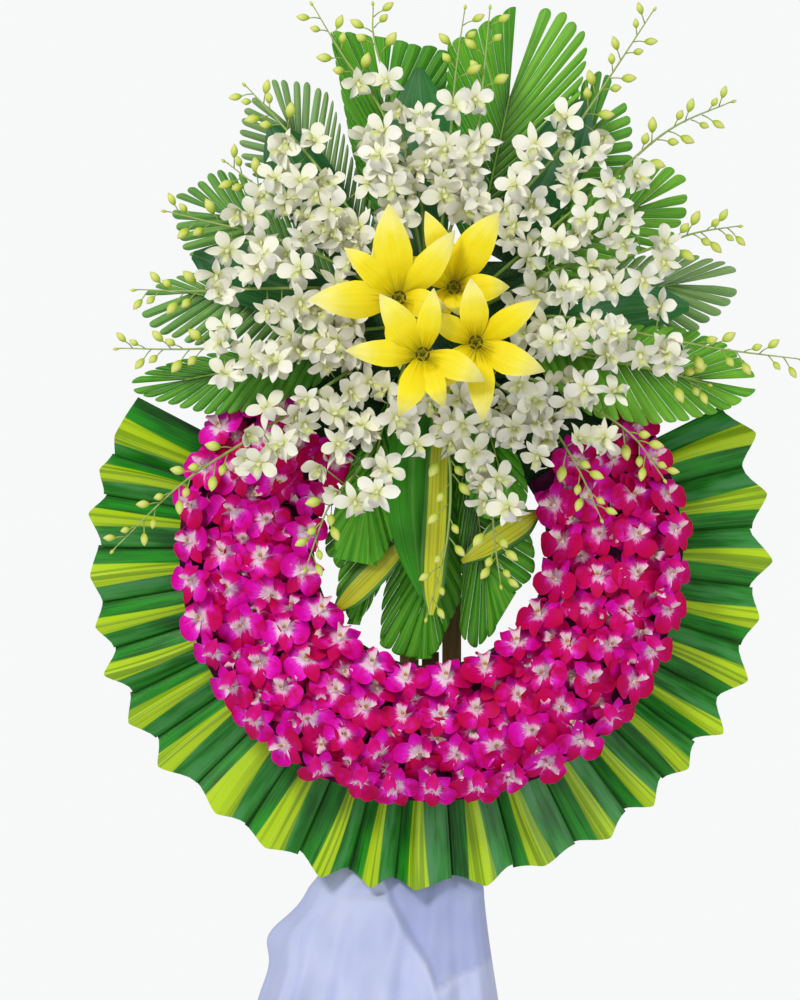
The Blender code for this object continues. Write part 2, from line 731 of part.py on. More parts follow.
# White sprays: wedge of angles round the spray's centre, then stems as layout points with
# the stretch of stem that carries open heads and the number of heads and buds
SPRAYS = (
    ("spray_top_left", 93, 121, (
        (((424, 271), (412, 215), (385, 120), (345, 60), (312, 4)), 0.22, 0.60, 3, 4),
        (((424, 271), (420, 200), (398, 120), (375, 45), (373, 6)), 0.30, 0.64, 3, 3),
    )),
    ("spray_top", 69, 93, (
        (((437, 270), (444, 205), (450, 140), (456, 70), (465, 8)), 0.24, 0.64, 3, 3),
        (((437, 270), (460, 200), (476, 140), (484, 70), (490, 8)), 0.24, 0.60, 3, 3),
    )),
    ("spray_top_right", 45, 69, (
        (((464, 280), (505, 215), (560, 150), (608, 80), (655, 8)), 0.20, 0.58, 4, 6),
    )),
    ("spray_right_upper", 24, 45, (
        (((480, 290), (545, 235), (610, 180), (670, 130), (733, 101)), 0.16, 0.56, 5, 6),
    )),
    ("spray_right", 4, 24, (
        (((486, 305), (560, 270), (625, 258), (690, 235), (738, 226)), 0.14, 0.62, 6, 5),
    )),
    ("spray_right_low", -20, 4, (
        (((488, 323), (560, 318), (640, 335), (720, 350), (800, 360)), 0.12, 0.60, 6, 5),
        (((488, 323), (550, 342), (610, 360), (660, 372), (705, 384)), 0.20, 0.75, 3, 3),
    )),
    ("spray_left_top", 121, 150, (
        (((403, 278), (360, 225), (315, 165), (275, 118), (246, 86)), 0.20, 0.62, 4, 4),
        (((403, 278), (340, 245), (290, 208), (255, 185), (226, 162)), 0.22, 0.66, 3, 3),
    )),
    ("spray_left", 150, 179, (
        (((388, 296), (330, 262), (270, 238), (215, 224), (166, 211)), 0.18, 0.66, 4, 3),
        (((388, 296), (330, 290), (260, 290), (195, 292), (136, 290)), 0.20, 0.66, 4, 4),
    )),
    ("spray_left_low", 179, 203, (
        (((384, 328), (330, 335), (270, 345), (190, 350), (118, 349)), 0.14, 0.64, 7, 5),
    )),
    ("spray_left_hanging", 203, 229, (
        (((388, 345), (330, 385), (262, 432), (185, 482), (112, 552)), 0.12, 0.55, 6, 7),
    )),
    ("spray_hole_left", 229, 256, (
        (((405, 364), (388, 415), (362, 465), (330, 505), (306, 568)), 0.14, 0.66, 6, 4),
    )),
    ("spray_hole_centre", 256, 279, (
        (((433, 372), (440, 420), (450, 470), (446, 545), (426, 618)), 0.10, 0.34, 2, 6),
    )),
    ("spray_hole_right", 279, 299, (
        (((450, 369), (474, 420), (488, 480), (494, 540), (500, 582)), 0.14, 0.62, 5, 4),
    )),
    ("spray_ring_right", 299, 340, (
        (((464, 361), (510, 395), (545, 420), (575, 465), (600, 518)), 0.14, 0.62, 5, 4),
        (((464, 361), (530, 380), (580, 402), (630, 435), (662, 478)), 0.30, 0.66, 3, 4),
    )),
)


def stem_curve(points):
    """Stem from the foam block's front out over the leaves."""
    rise = max(0.0, min(1.0, (SPRAY_V - points[-1][1]) / 60.0))
    far = (-0.152 + 0.004 * rise, -0.147 + 0.020 * rise, -0.140 + 0.040 * rise)
    depths = (BLOCK_FRONT - GAP, -0.156, *far)
    return [place(u, v, y) for (u, v), y in zip(points, depths)]


def off_middle(point, first, last):
    """Degrees round the spray's centre between a point and the middle of a wedge."""
    offset = point - place(SPRAY_U, SPRAY_V)
    angle = math.degrees(math.atan2(offset.z, offset.x)) - (first + last) / 2
    return abs((angle + 180) % 360 - 180)


def build_sprays():
    chance = random.Random(21)
    for name, first, last, stems in SPRAYS:
        pieces = []
        for points, start, end, heads, buds in stems:
            curve = stem_curve(points)
            pieces.append(tube(curve, (0.0026, 0.0023, 0.0019, 0.0014, 0.0), 3))
            for k in range(heads):
                at = start + (end - start) * k / max(1, heads - 1)
                root = along(curve, at)
                heading = (along(curve, min(1, at + 0.05)) - root).normalized()
                side = heading.cross(Vector((0, 1, 0))).normalized()
                swing = (1 if k % 2 else -1) * chance.uniform(0.016, 0.038)
                lift = Vector((0, -(0.019, 0.033, 0.026)[k % 3], 0))
                for share in (1.0, -1.0, 0.35):
                    centre = root + side * swing * share + lift
                    if off_middle(centre, first, last) < (last - first) / 2 - 4:
                        break
                facing = Vector((0, -1, 0)) + side * swing * 10 + Vector((0, 0, -0.12))
                facing.x += chance.uniform(-0.3, 0.3)
                size = 25.5 * UNIT * chance.uniform(0.94, 1.08)
                roll = chance.uniform(-0.9, 0.9)
                sunk = root + (root - centre).normalized() * 0.004
                pieces.append(bloom(centre, facing, roll, size, sunk, 26, 0.10))
            for k in range(buds):
                at = end + (0.97 - end) * (k + 0.6) / buds
                root = along(curve, at)
                heading = (along(curve, min(1, at + 0.03)) - root).normalized()
                side = heading.cross(Vector((0, 1, 0))).normalized() * (1 if k % 2 else -1)
                swell = 0.0056 - 0.0024 * k / buds
                lean = (heading * 0.9 + side + Vector((0, -0.5, 0))).normalized()
                length = 0.027 - 0.008 * k / buds
                shoulder = root + lean * length * 0.55
                sunk = root - lean * 0.003
                pieces.append(tube([sunk, shoulder, root + lean * length], (0.0, swell, 0.0), 3))
        bound = wedge(first, last, SPRAY_U, SPRAY_V, 560, -0.40, BLOCK_FRONT - GAP)
        fused(name, "white_petal", pieces, within=bound)


# Lilies: throat, depth of the open face, petal tips
LILIES = (
    ("lily_upper_right", (453, 291), -0.226, ((498, 216), (425, 215), (508, 290), (458, 318), (415, 330),
                                              (398, 262))),
    ("lily_upper_left", (399, 302), -0.252, ((389, 209), (454, 235), (446, 312), (400, 372), (310, 303),
                                             (345, 252))),
    ("lily_lower_right", (474, 346), -0.278, ((469, 283), (537, 304), (542, 374), (481, 424), (430, 392),
                                              (424, 318))),
    ("lily_lower_left", (422, 358), -0.304, ((380, 299), (433, 293), (483, 384), (443, 410), (399, 418),
                                             (346, 354))),
)


def build_lilies():
    stations = (0.0, 0.32, 0.70, 1.0)
    widths = (4.0, 14.0, 15.5, 1.8)
    depths = (0.024, 0.000, -0.005, 0.008)
    for number, (name, throat, level, tips) in enumerate(LILIES):
        pieces = []
        feet = ((448, 309), (418, 311), (462, 338), (427, 334))
        foot = place(*feet[number], BLOCK_FRONT - GAP)
        cup = place(*throat, level + 0.036)
        bend = place(*feet[number], level + 0.070)
        deep = place(*throat, level + 0.018)
        pieces.append(tube([foot, bend, cup, deep], (0.004, 0.004, 0.010, 0.0165), 6))
        for k, (u, v) in enumerate(tips):
            spine = []
            for at, deep in zip(stations, depths):
                back = 0.003 if k % 2 else 0.0
                start = 0.10 + 0.90 * at
                spine.append((throat[0] + (u - throat[0]) * start, throat[1] + (v - throat[1]) * start,
                              level + deep + back))
            reach = math.hypot(u - throat[0], v - throat[1])
            share = min(1.15, max(0.8, reach / 85.0))
            half = [w * share * (0.85 if k % 2 else 1.0) for w in widths]
            pieces.append(blade(spine, half, 0.22, 0.0, 0.0016))
        for k in range(2):
            away = Vector((0.010 * (1 - 2 * k), 0, 0.004))
            low = place(*throat, level + 0.024)
            high = low + away + Vector((0, -0.034, 0))
            pieces.append(tube([low, high, high + Vector((0, -0.004, 0))], (0.0010, 0.0018, 0.0), 3))
        fused(name, "lily_petal", pieces)


build_stand()
build_hoop()
build_foam()
build_drape()
build_collar()
build_beds()
build_leaves()
build_sprays()
build_lilies()
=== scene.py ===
"""Looks of the standing funeral wreath: orchid ring, leaf collar, top spray, hanging leaves and drape.

Front faces -Y. The front view is laid out in units of 1.25 mm: u to the right, v down, as in the solids.
"""

import math
import random

import bpy
import numpy as np
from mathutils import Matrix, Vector


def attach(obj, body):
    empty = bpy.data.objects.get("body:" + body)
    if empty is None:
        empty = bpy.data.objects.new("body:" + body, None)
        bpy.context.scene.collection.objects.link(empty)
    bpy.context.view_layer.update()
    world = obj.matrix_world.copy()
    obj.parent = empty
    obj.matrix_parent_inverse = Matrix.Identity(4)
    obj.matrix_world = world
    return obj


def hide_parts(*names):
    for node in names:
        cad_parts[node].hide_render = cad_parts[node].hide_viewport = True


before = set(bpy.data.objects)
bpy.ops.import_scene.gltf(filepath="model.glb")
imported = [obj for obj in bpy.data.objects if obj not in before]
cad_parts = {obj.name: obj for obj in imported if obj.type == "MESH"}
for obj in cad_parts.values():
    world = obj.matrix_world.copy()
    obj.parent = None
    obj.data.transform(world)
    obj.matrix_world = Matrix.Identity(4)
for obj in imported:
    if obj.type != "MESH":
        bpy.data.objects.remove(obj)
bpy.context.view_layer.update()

# Layout: metres in a unit, the ring's middle in units, and where that middle lies in the frame
UNIT = 0.00125
RING_U = 431.0
RING_V = 550.0
RING_HEIGHT = 0.93
SHIFT_X = -0.0155
SHIFT_Y = 0.042
BACK = np.array([0.0, 1.0, 0.0])
FRONT = -BACK

# Seats of the flowers: gap between touching solids, front faces of the foam ring and of the foam block
GAP = 0.0003
FOAM_FRONT = -0.060
BLOCK_FRONT = -0.1200

# Flower bed of the ring: radii in units, arc in degrees, height of its edge and of its dome in metres
BED_INNER = 120.0
BED_OUTER = 252.0
BED_CROWN = 186.0
BED_HALF_WIDTH = 76.0
BED_START = 134.0
BED_SPAN = 260.0
BED_EDGE = 0.004
BED_DOME = 0.024
BED_NODES = 6

# Heads of the ring: radius and count of each row, and of the rows between; their radius in units, how far
# they lean in degrees at LEAN_REACH off the crown, and how far they stand off the bed in metres
BLOOM_ROWS = ((133, 15), (169, 20), (206, 24), (242, 28))
BLOOM_RADIUS = 27.73
BLOOM_LEAN = 42.0
BLOOM_LIFT = 0.0060
BLOOM_SHAPES = 20
FILL_ROWS = ((151, 17), (188, 22), (224, 26))
FILL_RADIUS = 24.0
FILL_LEAN = 50.0
FILL_LIFT = 0.0015
LEAN_REACH = 60.0
FIRST_ROW_ENDS = 150.0
FIRST_ROW_INSET = 2.5

# Middle that the sprays come from, in units
SPRAY_U = 435.0
SPRAY_V = 320.0

# Heads of the sprays: radius in units, distance to the stem's side and in front of it in metres
HEAD_RADIUS = 23.46
HEAD_SWING = (0.016, 0.038)
HEAD_LIFTS = (0.019, 0.033, 0.026)
HEAD_SHAPES = 24
FILLER_RADIUS = 22.0
FILLER_SWING = 0.040
FILLER_LIFT = (0.002, 0.024)
HALF_OPEN_SHAPES = 5

# Buds and stalks of the sprays: how far out the buds go, the length and radius of the first bud and what
# they lose on the way to the last one, and the stalks' radius
BUDS_END = 0.97
BUD_LENGTH = 0.02204
BUD_LENGTH_LOSS = 0.00608
LATE_BUD_LENGTH = 0.01584
LATE_BUD_LENGTH_LOSS = 0.00462
BUD_RADIUS = 0.0066
BUD_RADIUS_LOSS = 0.0024
STALK_RADIUS = 0.0009

# What a point of a flower belongs to, kept in the fourth value of its tint
PETAL = 0.0
LIP = 0.25
COLUMN = 0.5
STEM = 0.75
BUD = 0.85
# The core is the sheet of the ring's bed between the heads, coloured as painted shade
CORE_SHADE = 1.0

# The same value for the rib of a frond, and the place along the column's ramp that a stamen's end takes
STALK = 1.0
ANTHER = 0.95


# Layout


def spread(x, y, z):
    """Points whose three coordinates are shared out over one grid."""
    return np.stack(np.broadcast_arrays(x, y, z), axis=-1)


def place(u, v, y):
    """Row-frame points of layout points, y metres behind the ring's plane."""
    return spread((u - RING_U) * UNIT + SHIFT_X, y + SHIFT_Y, RING_HEIGHT + (RING_V - v) * UNIT)


def polar(angle, radius):
    turn = np.radians(angle)
    return RING_U + radius * np.cos(turn), RING_V - radius * np.sin(turn)


def unit(vector):
    return vector / max(1e-9, float(np.linalg.norm(vector)))


def profile(at, pairs):
    """Value at a share of the way, between pairs of share and value."""
    return np.interp(at, *zip(*pairs))


def bed_depth(radius):
    across = (radius - BED_CROWN) / BED_HALF_WIDTH
    return FOAM_FRONT - BED_EDGE - BED_DOME * np.sqrt(np.maximum(0.0, 1 - across * across))


# Mesh building


class Foliage:
    """Gathers grids of points and makes one mesh of them, with a tint of four values at each point."""

    def __init__(self):
        self.points = []
        self.faces = []
        self.tints = []
        self.count = 0

    def grid(self, points, along, across, draw, part, wrap=False):
        """points is rows by columns by 3, and the tint's four values are shared out over it."""
        rows, columns = points.shape[:2]
        index = np.arange(rows * columns).reshape(rows, columns)
        if wrap:
            index = np.concatenate([index, index[:, :1]], axis=1)
        faces = np.stack([index[:-1, :-1], index[:-1, 1:], index[1:, 1:], index[1:, :-1]], axis=-1)
        tint = [np.broadcast_to(value, (rows, columns)) for value in (along, across, draw, part)]
        self.points.append(points.reshape(-1, 3))
        self.faces.append(faces.reshape(-1, 4) + self.count)
        self.tints.append(np.stack(tint, axis=-1).reshape(-1, 4))
        self.count += rows * columns

    def object(self, name, material):
        points = np.concatenate(self.points).astype(np.float32)
        faces = np.concatenate(self.faces).astype(np.int32)
        tints = np.concatenate(self.tints).astype(np.float32)
        mesh = bpy.data.meshes.new(name)
        mesh.vertices.add(len(points))
        mesh.vertices.foreach_set("co", points.ravel())
        mesh.loops.add(faces.size)
        mesh.loops.foreach_set("vertex_index", faces.ravel())
        mesh.polygons.add(len(faces))
        mesh.polygons.foreach_set("loop_start", np.arange(0, faces.size, 4, dtype=np.int32))
        mesh.update(calc_edges=True)
        mesh.polygons.foreach_set("use_smooth", np.ones(len(faces), bool))
        layer = mesh.attributes.new("tint", "FLOAT_COLOR", "POINT")
        layer.data.foreach_set("color", tints.ravel())
        mesh.materials.append(material)
        made = bpy.data.objects.new(name, mesh)
        bpy.context.scene.collection.objects.link(made)
        return made


def stand_in(foliage, node, material):
    """Makes the piece that stands for a node of the solids."""
    piece = foliage.object(node + "_looks", material)
    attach(piece, "root")
    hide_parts(node)
    return piece


def smooth_path(points, count):
    """count points of a Catmull-Rom curve through the given points."""
    points = np.asarray(points, float)
    padded = np.vstack([2 * points[0] - points[1], points, 2 * points[-1] - points[-2]])
    spans = len(points) - 1
    at = np.linspace(0, spans, count)
    index = np.minimum(at.astype(int), spans - 1)
    t = (at - index)[:, None]
    a, b, c, d = (padded[index + k] for k in range(4))
    return 0.5 * (2 * b + (c - a) * t + (2 * a - 5 * b + 4 * c - d) * t**2 + (3 * b - a - 3 * c + d) * t**3)


# A direction that no stem runs in, to measure the sides of a stem from
ASLANT = (0.31, 0.90, 0.20)


def tube(foliage, path, radii, part, draw, sides=6, along=None):
    """Round stem along a path. Its tint runs along it unless one value is given."""
    ahead = np.gradient(path, axis=0)
    ahead /= np.linalg.norm(ahead, axis=1)[:, None] + 1e-12
    side = np.cross(ahead, ASLANT)
    side /= np.linalg.norm(side, axis=1)[:, None] + 1e-12
    other = np.cross(ahead, side)
    turn = np.linspace(0, 2 * math.pi, sides, endpoint=False)
    ring = side[:, None] * np.cos(turn)[:, None] + other[:, None] * np.sin(turn)[:, None]
    points = path[:, None] + ring * np.broadcast_to(radii, len(path))[:, None, None]
    if along is None:
        along = np.linspace(0, 1, len(path))[:, None]
    foliage.grid(points, along, turn / (2 * math.pi), draw, part, wrap=True)


# Flowers, in a frame whose third axis is where the flower faces and whose reach is 1


# Outlines of a sepal, a broad petal and the lip: share of the length and of the full width
SEPAL = (
    (0, 0.30), (0.12, 0.55), (0.30, 0.92), (0.45, 1.0), (0.65, 0.86), (0.82, 0.55), (0.94, 0.24), (1, 0.03),
)
BROAD = (
    (0, 0.16), (0.12, 0.42), (0.30, 0.78), (0.50, 0.98), (0.66, 1.0), (0.82, 0.84), (0.93, 0.55), (1, 0.10),
)
LIP_WIDTHS = ((0, 0.12), (0.25, 0.24), (0.45, 0.17), (0.62, 0.24), (0.80, 0.27), (0.93, 0.17), (1, 0.02))
PETAL_START = 0.04


def tepal(angle, length, width, outline, rise, droop, cup, ripple, phase):
    """One petal from the centre outwards, as points and their places along and across it."""
    t = np.linspace(0, 1, 10)[:, None] ** 0.85
    s = np.linspace(-1, 1, 6)
    x = PETAL_START + (length - PETAL_START) * t
    y = width * profile(t, outline) * s
    z = rise * t - droop * t**2.4 + cup * (y / width) ** 2 * t
    z = z + ripple * np.sin(5.0 * t + phase) * s**2 * np.sign(s)
    c, d = math.cos(math.radians(angle)), math.sin(math.radians(angle))
    return spread(x * c - y * d, x * d + y * c, z), t, 0.5 + 0.5 * s


def orchid(chance, openness, slim, wide):
    """Dendrobium head: three sepals, two broad petals, a cupped lip below and a column."""
    patches = []
    petals = (
        (90, 0.98, slim, SEPAL, 0.10, 0.95),
        (-128, 0.96, slim, SEPAL, 0.02, 0.22),
        (-52, 0.96, slim, SEPAL, 0.02, 0.30),
        (18, 0.98, wide, BROAD, 0.16, 0.66),
        (162, 0.98, wide, BROAD, 0.16, 0.58),
    )
    for angle, length, width, outline, rise, draw in petals:
        patch = tepal(
            angle + chance.uniform(-7, 7),
            length * chance.uniform(0.93, 1.05) * (0.55 + 0.45 * openness),
            width * chance.uniform(0.90, 1.08),
            outline,
            rise + (1 - openness) * 0.7,
            chance.uniform(0.02, 0.30) * openness,
            chance.uniform(-0.04, 0.16),
            chance.uniform(0.01, 0.06),
            chance.uniform(0, 6),
        )
        patches.append((*patch, PETAL, draw + chance.uniform(-0.2, 0.2)))
    t = np.linspace(0, 1, 8)[:, None]
    s = np.linspace(-1, 1, 7)
    half = profile(t, LIP_WIDTHS)
    fold = (0.95 - 0.75 * t) * np.abs(s) ** 1.6 * half * 1.6
    z = 0.10 + 0.30 * np.sin(math.pi * t**0.8) - 0.22 * t**3 + fold
    lip = spread(half * s, -0.04 - 0.62 * t, z)
    patches.append((lip, t, 0.5 + 0.5 * s, LIP, chance.random()))
    t = np.linspace(0, 1, 6)[:, None]
    turn = np.linspace(0, 2 * math.pi, 7)
    size = 0.085 * np.sqrt(np.clip(1.02 - (t - 0.35) ** 2 / 0.43, 0.0, 1))
    column = spread(size * np.cos(turn), 0.03 - 0.12 * t + size * np.sin(turn), 0.02 + 0.27 * t)
    patches.append((column, t, turn / 6.3, COLUMN, chance.random()))
    return patches


def put_orchid(foliage, shapes, chance, centre, facing, roll, size, warmth):
    """Sets one of the prepared heads at a place, facing and turned as asked."""
    facing = unit(facing)
    side = unit(np.cross(facing, (0.0, 0.0, 1.0)))
    up = np.cross(side, facing)
    c, s = math.cos(roll), math.sin(roll)
    turned = np.stack([side * c + up * s, up * c - side * s, facing])
    for points, along, across, part, draw in chance.choice(shapes):
        shade = np.clip(draw + chance.uniform(-0.25, 0.25) + 0.6 * (warmth - 0.5), 0, 1)
        foliage.grid(centre + points @ turned * size, along, across, shade, part)


def bud(foliage, foot, lean, length, swell, chance):
    """Closed bud on a curved stalk."""
    sag = np.array([0.0, 0.0, -0.25 * length])
    bend = foot + lean * length * 0.45
    neck = foot + lean * length * 0.80 + sag * 0.4
    tip = neck + unit(lean + sag * 22) * length
    tube(foliage, smooth_path([foot, bend, neck], 5), 0.0008, STEM, chance.random(), 5)
    t = np.linspace(0, 1, 8)
    radii = swell * np.interp(t, (0, 0.12, 0.38, 0.62, 0.85, 1), (0.12, 0.55, 1.0, 0.94, 0.50, 0.05))
    tube(foliage, neck + (tip - neck) * t[:, None], radii, BUD, chance.random(), 8)


# Materials. A stop of a ramp is its position and a colour, or its position and one grey value.


class Nodes:
    """One material and short names for the shader nodes that the materials here are made of."""

    def __init__(self, name, roughness, specular):
        self.material = bpy.data.materials.new(name)
        self.material.use_nodes = True
        self.tree = self.material.node_tree
        self.surface = self.tree.nodes["Principled BSDF"].inputs
        self.surface["Roughness"].default_value = roughness
        self.surface["Specular IOR Level"].default_value = specular

    def link(self, source, target):
        self.tree.links.new(source, target)

    def make(self, kind, **values):
        node = self.tree.nodes.new(kind)
        for name, value in values.items():
            setattr(node, name, value)
        return node

    def feed(self, sockets, values):
        for socket, value in zip(sockets, values):
            if isinstance(value, bpy.types.NodeSocket):
                self.link(value, socket)
            else:
                socket.default_value = (*value, 1.0) if socket.type == "RGBA" else value

    def math(self, operation, *values):
        node = self.make("ShaderNodeMath", operation=operation)
        self.feed(node.inputs, values)
        return node.outputs[0]

    def times(self, a, b):
        return self.math("MULTIPLY", a, b)

    def about(self, noise, swing, middle):
        """middle, moved up and down by a noise."""
        return self.math("MULTIPLY_ADD", self.math("SUBTRACT", noise, 0.5), swing, middle)

    def tint(self):
        node = self.make("ShaderNodeAttribute", attribute_name="tint")
        parts = self.make("ShaderNodeSeparateColor")
        self.link(node.outputs["Color"], parts.inputs[0])
        return parts.outputs[0], parts.outputs[1], parts.outputs[2], node.outputs["Alpha"]

    def ramp(self, value, *stops):
        node = self.make("ShaderNodeValToRGB")
        elements = node.color_ramp.elements
        while len(elements) < len(stops):
            elements.new(0.5)
        for element, (position, *colour) in zip(elements, stops):
            element.position = position
            element.color = (*(colour if len(colour) == 3 else colour * 3), 1.0)
        self.link(value, node.inputs[0])
        return node.outputs[0]

    def mix(self, factor, a, b, blend="MIX"):
        node = self.make("ShaderNodeMix", data_type="RGBA", blend_type=blend)
        self.feed((node.inputs["Factor"], node.inputs[6], node.inputs[7]), (factor, a, b))
        return node.outputs[2]

    def noise(self, spot, scale, detail=2.0, rough=0.5):
        node = self.make("ShaderNodeTexNoise")
        self.link(spot, node.inputs["Vector"])
        node.inputs["Scale"].default_value = scale
        node.inputs["Detail"].default_value = detail
        node.inputs["Roughness"].default_value = rough
        return node.outputs["Fac"]

    def streaks(self, across, fine, along, long, seed, detail, rough=0.5):
        """Noise drawn out along a petal or leaf."""
        node = self.make("ShaderNodeCombineXYZ")
        self.feed(node.inputs, (self.times(across, fine), self.times(along, long), seed))
        return self.noise(node.outputs[0], 1.0, detail, rough)

    def position(self):
        return self.make("ShaderNodeTexCoord").outputs["Object"]

    def finish(self, colour, height, strength, distance):
        """Colours and bumps the surface and gives the material back."""
        self.link(colour, self.surface["Base Color"])
        node = self.make("ShaderNodeBump")
        node.inputs["Strength"].default_value = strength
        node.inputs["Distance"].default_value = distance
        self.link(height, node.inputs["Height"])
        self.link(node.outputs[0], self.surface["Normal"])
        return self.material


def petal_material(name, petal_a, petal_b, lip, column, stem, budding, core_shade, roughness):
    """Flower material: two petal ramps mixed by the draw of each petal, and colours for the other parts."""
    n = Nodes(name, roughness, 0.08)
    along, across, draw, part = n.tint()
    fibre = n.streaks(across, 14.4, along, 2.08, n.times(draw, 59.2), 3.0)
    wander = n.about(fibre, 0.42, along)
    blend = n.ramp(n.about(n.noise(n.position(), 70.0), 1.5, draw), (0.30, 0), (0.70, 1))
    colour = n.mix(blend, n.ramp(wander, *petal_a), n.ramp(wander, *petal_b))
    vein = n.math("PINGPONG", n.times(across, 7.0), 0.5)
    vein = n.times(n.math("SUBTRACT", 0.5, vein), n.times(along, 0.22))
    colour = n.mix(vein, colour, n.mix(1.0, colour, colour, "MULTIPLY"))
    layers = (
        (LIP, wander, lip),
        (COLUMN, along, column),
        (STEM, wander, stem),
        (BUD, wander, budding),
        # Core sheet of the ring's bed: near-black painted shade between the heads
        (CORE_SHADE, n.noise(n.position(), 90.0, 3.0), core_shade),
    )
    for level, value, stops in layers:
        colour = n.mix(n.math("GREATER_THAN", part, level - 0.04), colour, n.ramp(value, *stops))
    return n.finish(colour, fibre, 0.35, 0.0012)


def magenta_material():
    white = (0.93, 0.74, 0.88)
    return petal_material(
        "magenta_orchid",
        ((0.0, *white), (0.22, 0.97, 0.76, 0.92), (0.36, 0.94, 0.05, 0.72), (0.62, 0.84, 0.002, 0.5),
         (0.9, 0.74, 0.001, 0.34), (1.0, 0.58, 0.001, 0.19)),
        ((0.0, *white), (0.12, 0.92, 0.5, 0.74), (0.24, 0.72, 0.004, 0.24), (0.55, 0.64, 0.001, 0.11),
         (0.9, 0.6, 0.001, 0.075), (1.0, 0.5, 0.001, 0.045)),
        ((0.0, 0.94, 0.86, 0.7), (0.3, 0.92, 0.62, 0.78), (0.48, 0.76, 0.012, 0.34),
         (0.8, 0.64, 0.001, 0.15), (1.0, 0.72, 0.01, 0.3)),
        ((0.0, 0.9, 0.72, 0.8), (0.55, 0.94, 0.86, 0.62), (0.8, 0.5, 0.1, 0.06), (1.0, 0.85, 0.7, 0.25)),
        ((0.0, 0.1, 0.16, 0.03), (1.0, 0.3, 0.05, 0.12)),
        ((0.0, 0.4, 0.02, 0.2), (1.0, 0.6, 0.05, 0.35)),
        # Core: painted shade between the heads of the ring
        ((0.3, 0.03, 0.002, 0.018), (0.6, 0.09, 0.004, 0.045), (0.8, 0.02, 0.03, 0.008)),
        0.5,
    )


def white_material():
    return petal_material(
        "white_orchid",
        ((0.0, 0.62, 0.68, 0.22), (0.1, 0.86, 0.87, 0.52), (0.24, 0.96, 0.95, 0.8),
         (0.6, 0.97, 0.96, 0.87), (1.0, 0.96, 0.95, 0.84)),
        ((0.0, 0.56, 0.62, 0.16), (0.14, 0.8, 0.83, 0.42), (0.34, 0.93, 0.93, 0.72),
         (0.7, 0.95, 0.94, 0.79), (1.0, 0.92, 0.92, 0.72)),
        ((0.0, 0.58, 0.64, 0.16), (0.3, 0.76, 0.79, 0.42), (0.55, 0.86, 0.86, 0.72),
         (1.0, 0.88, 0.88, 0.8)),
        ((0.0, 0.62, 0.68, 0.22), (0.7, 0.84, 0.85, 0.66), (1.0, 0.7, 0.66, 0.2)),
        ((0.0, 0.16, 0.3, 0.05), (0.5, 0.34, 0.46, 0.12), (1.0, 0.44, 0.54, 0.18)),
        ((0.0, 0.32, 0.48, 0.04), (0.35, 0.6, 0.72, 0.1), (0.75, 0.78, 0.82, 0.24),
         (1.0, 0.66, 0.7, 0.14)),
        ((0.3, 0.01, 0.03, 0.01), (0.7, 0.02, 0.06, 0.02)),
        0.48,
    )


def lily_material():
    return petal_material(
        "yellow_lily",
        ((0.0, 0.3, 0.3, 0.01), (0.1, 0.62, 0.54, 0.01), (0.22, 0.92, 0.72, 0.006),
         (0.6, 0.98, 0.83, 0.02), (0.84, 0.98, 0.88, 0.12), (1.0, 0.95, 0.88, 0.28)),
        ((0.0, 0.26, 0.26, 0.01), (0.12, 0.64, 0.52, 0.01), (0.26, 0.94, 0.76, 0.01),
         (0.55, 0.97, 0.84, 0.04), (0.78, 0.97, 0.88, 0.18), (1.0, 0.95, 0.9, 0.38)),
        ((0.0, 0.1, 0.12, 0.01), (1.0, 0.5, 0.45, 0.02)),
        ((0.0, 0.2, 0.26, 0.03), (0.8, 0.5, 0.48, 0.08), (0.86, 0.06, 0.045, 0.01),
         (1.0, 0.1, 0.06, 0.01)),
        ((0.0, 0.1, 0.22, 0.03), (1.0, 0.3, 0.4, 0.05)),
        ((0.0, 0.3, 0.4, 0.05), (1.0, 0.7, 0.6, 0.08)),
        ((0.3, 0.05, 0.05, 0.01), (0.7, 0.08, 0.08, 0.01)),
        0.42,
    )


def leaf_material(name, dark, mid, light, vein, ribs, roughness, painted_sheen, sheen_share):
    """Green leaf: parallel veins, uneven greens, a paler rib, patches of painted sheen, and painted shade
    towards its foot.
    """
    n = Nodes(name, roughness, 0.26)
    along, across, draw, part = n.tint()
    seed = n.times(draw, 61.0)
    streak = n.streaks(across, ribs, along, 1.2, seed, 3.0, 0.6)
    patch = n.streaks(across, 2.0, along, 3.0, seed, 2.0)
    tone = n.about(streak, 1.3, n.math("MULTIPLY_ADD", draw, 0.5, 0.25))
    colour = n.ramp(tone, (0.05, *dark), (0.5, *mid), (0.95, *light))
    grey = n.times(n.math("LESS_THAN", part, 0.5), n.times(part, 1.7))
    colour = n.mix(grey, colour, n.ramp(tone, (0.1, 0.150, 0.260, 0.110), (0.9, 0.500, 0.680, 0.340)))
    # Painted sheen: paler patches where the leaf would show a reflection
    sheen_patch = n.ramp(patch, (0.52, 0), (0.70, 1))
    colour = n.mix(n.times(sheen_patch, sheen_share), colour, painted_sheen)
    rib = n.ramp(n.math("ABSOLUTE", n.math("SUBTRACT", across, 0.5)), (0.0, 1), (0.055, 0))
    colour = n.mix(n.times(rib, 0.55), colour, vein)
    # Painted shade: darker towards the foot of the leaf
    colour = n.mix(1.0, colour, n.ramp(along, (0.0, 0.45), (0.35, 1)), "MULTIPLY")
    colour = n.mix(n.math("GREATER_THAN", part, 0.5), colour, vein)
    return n.finish(colour, streak, 0.5, 0.0012)


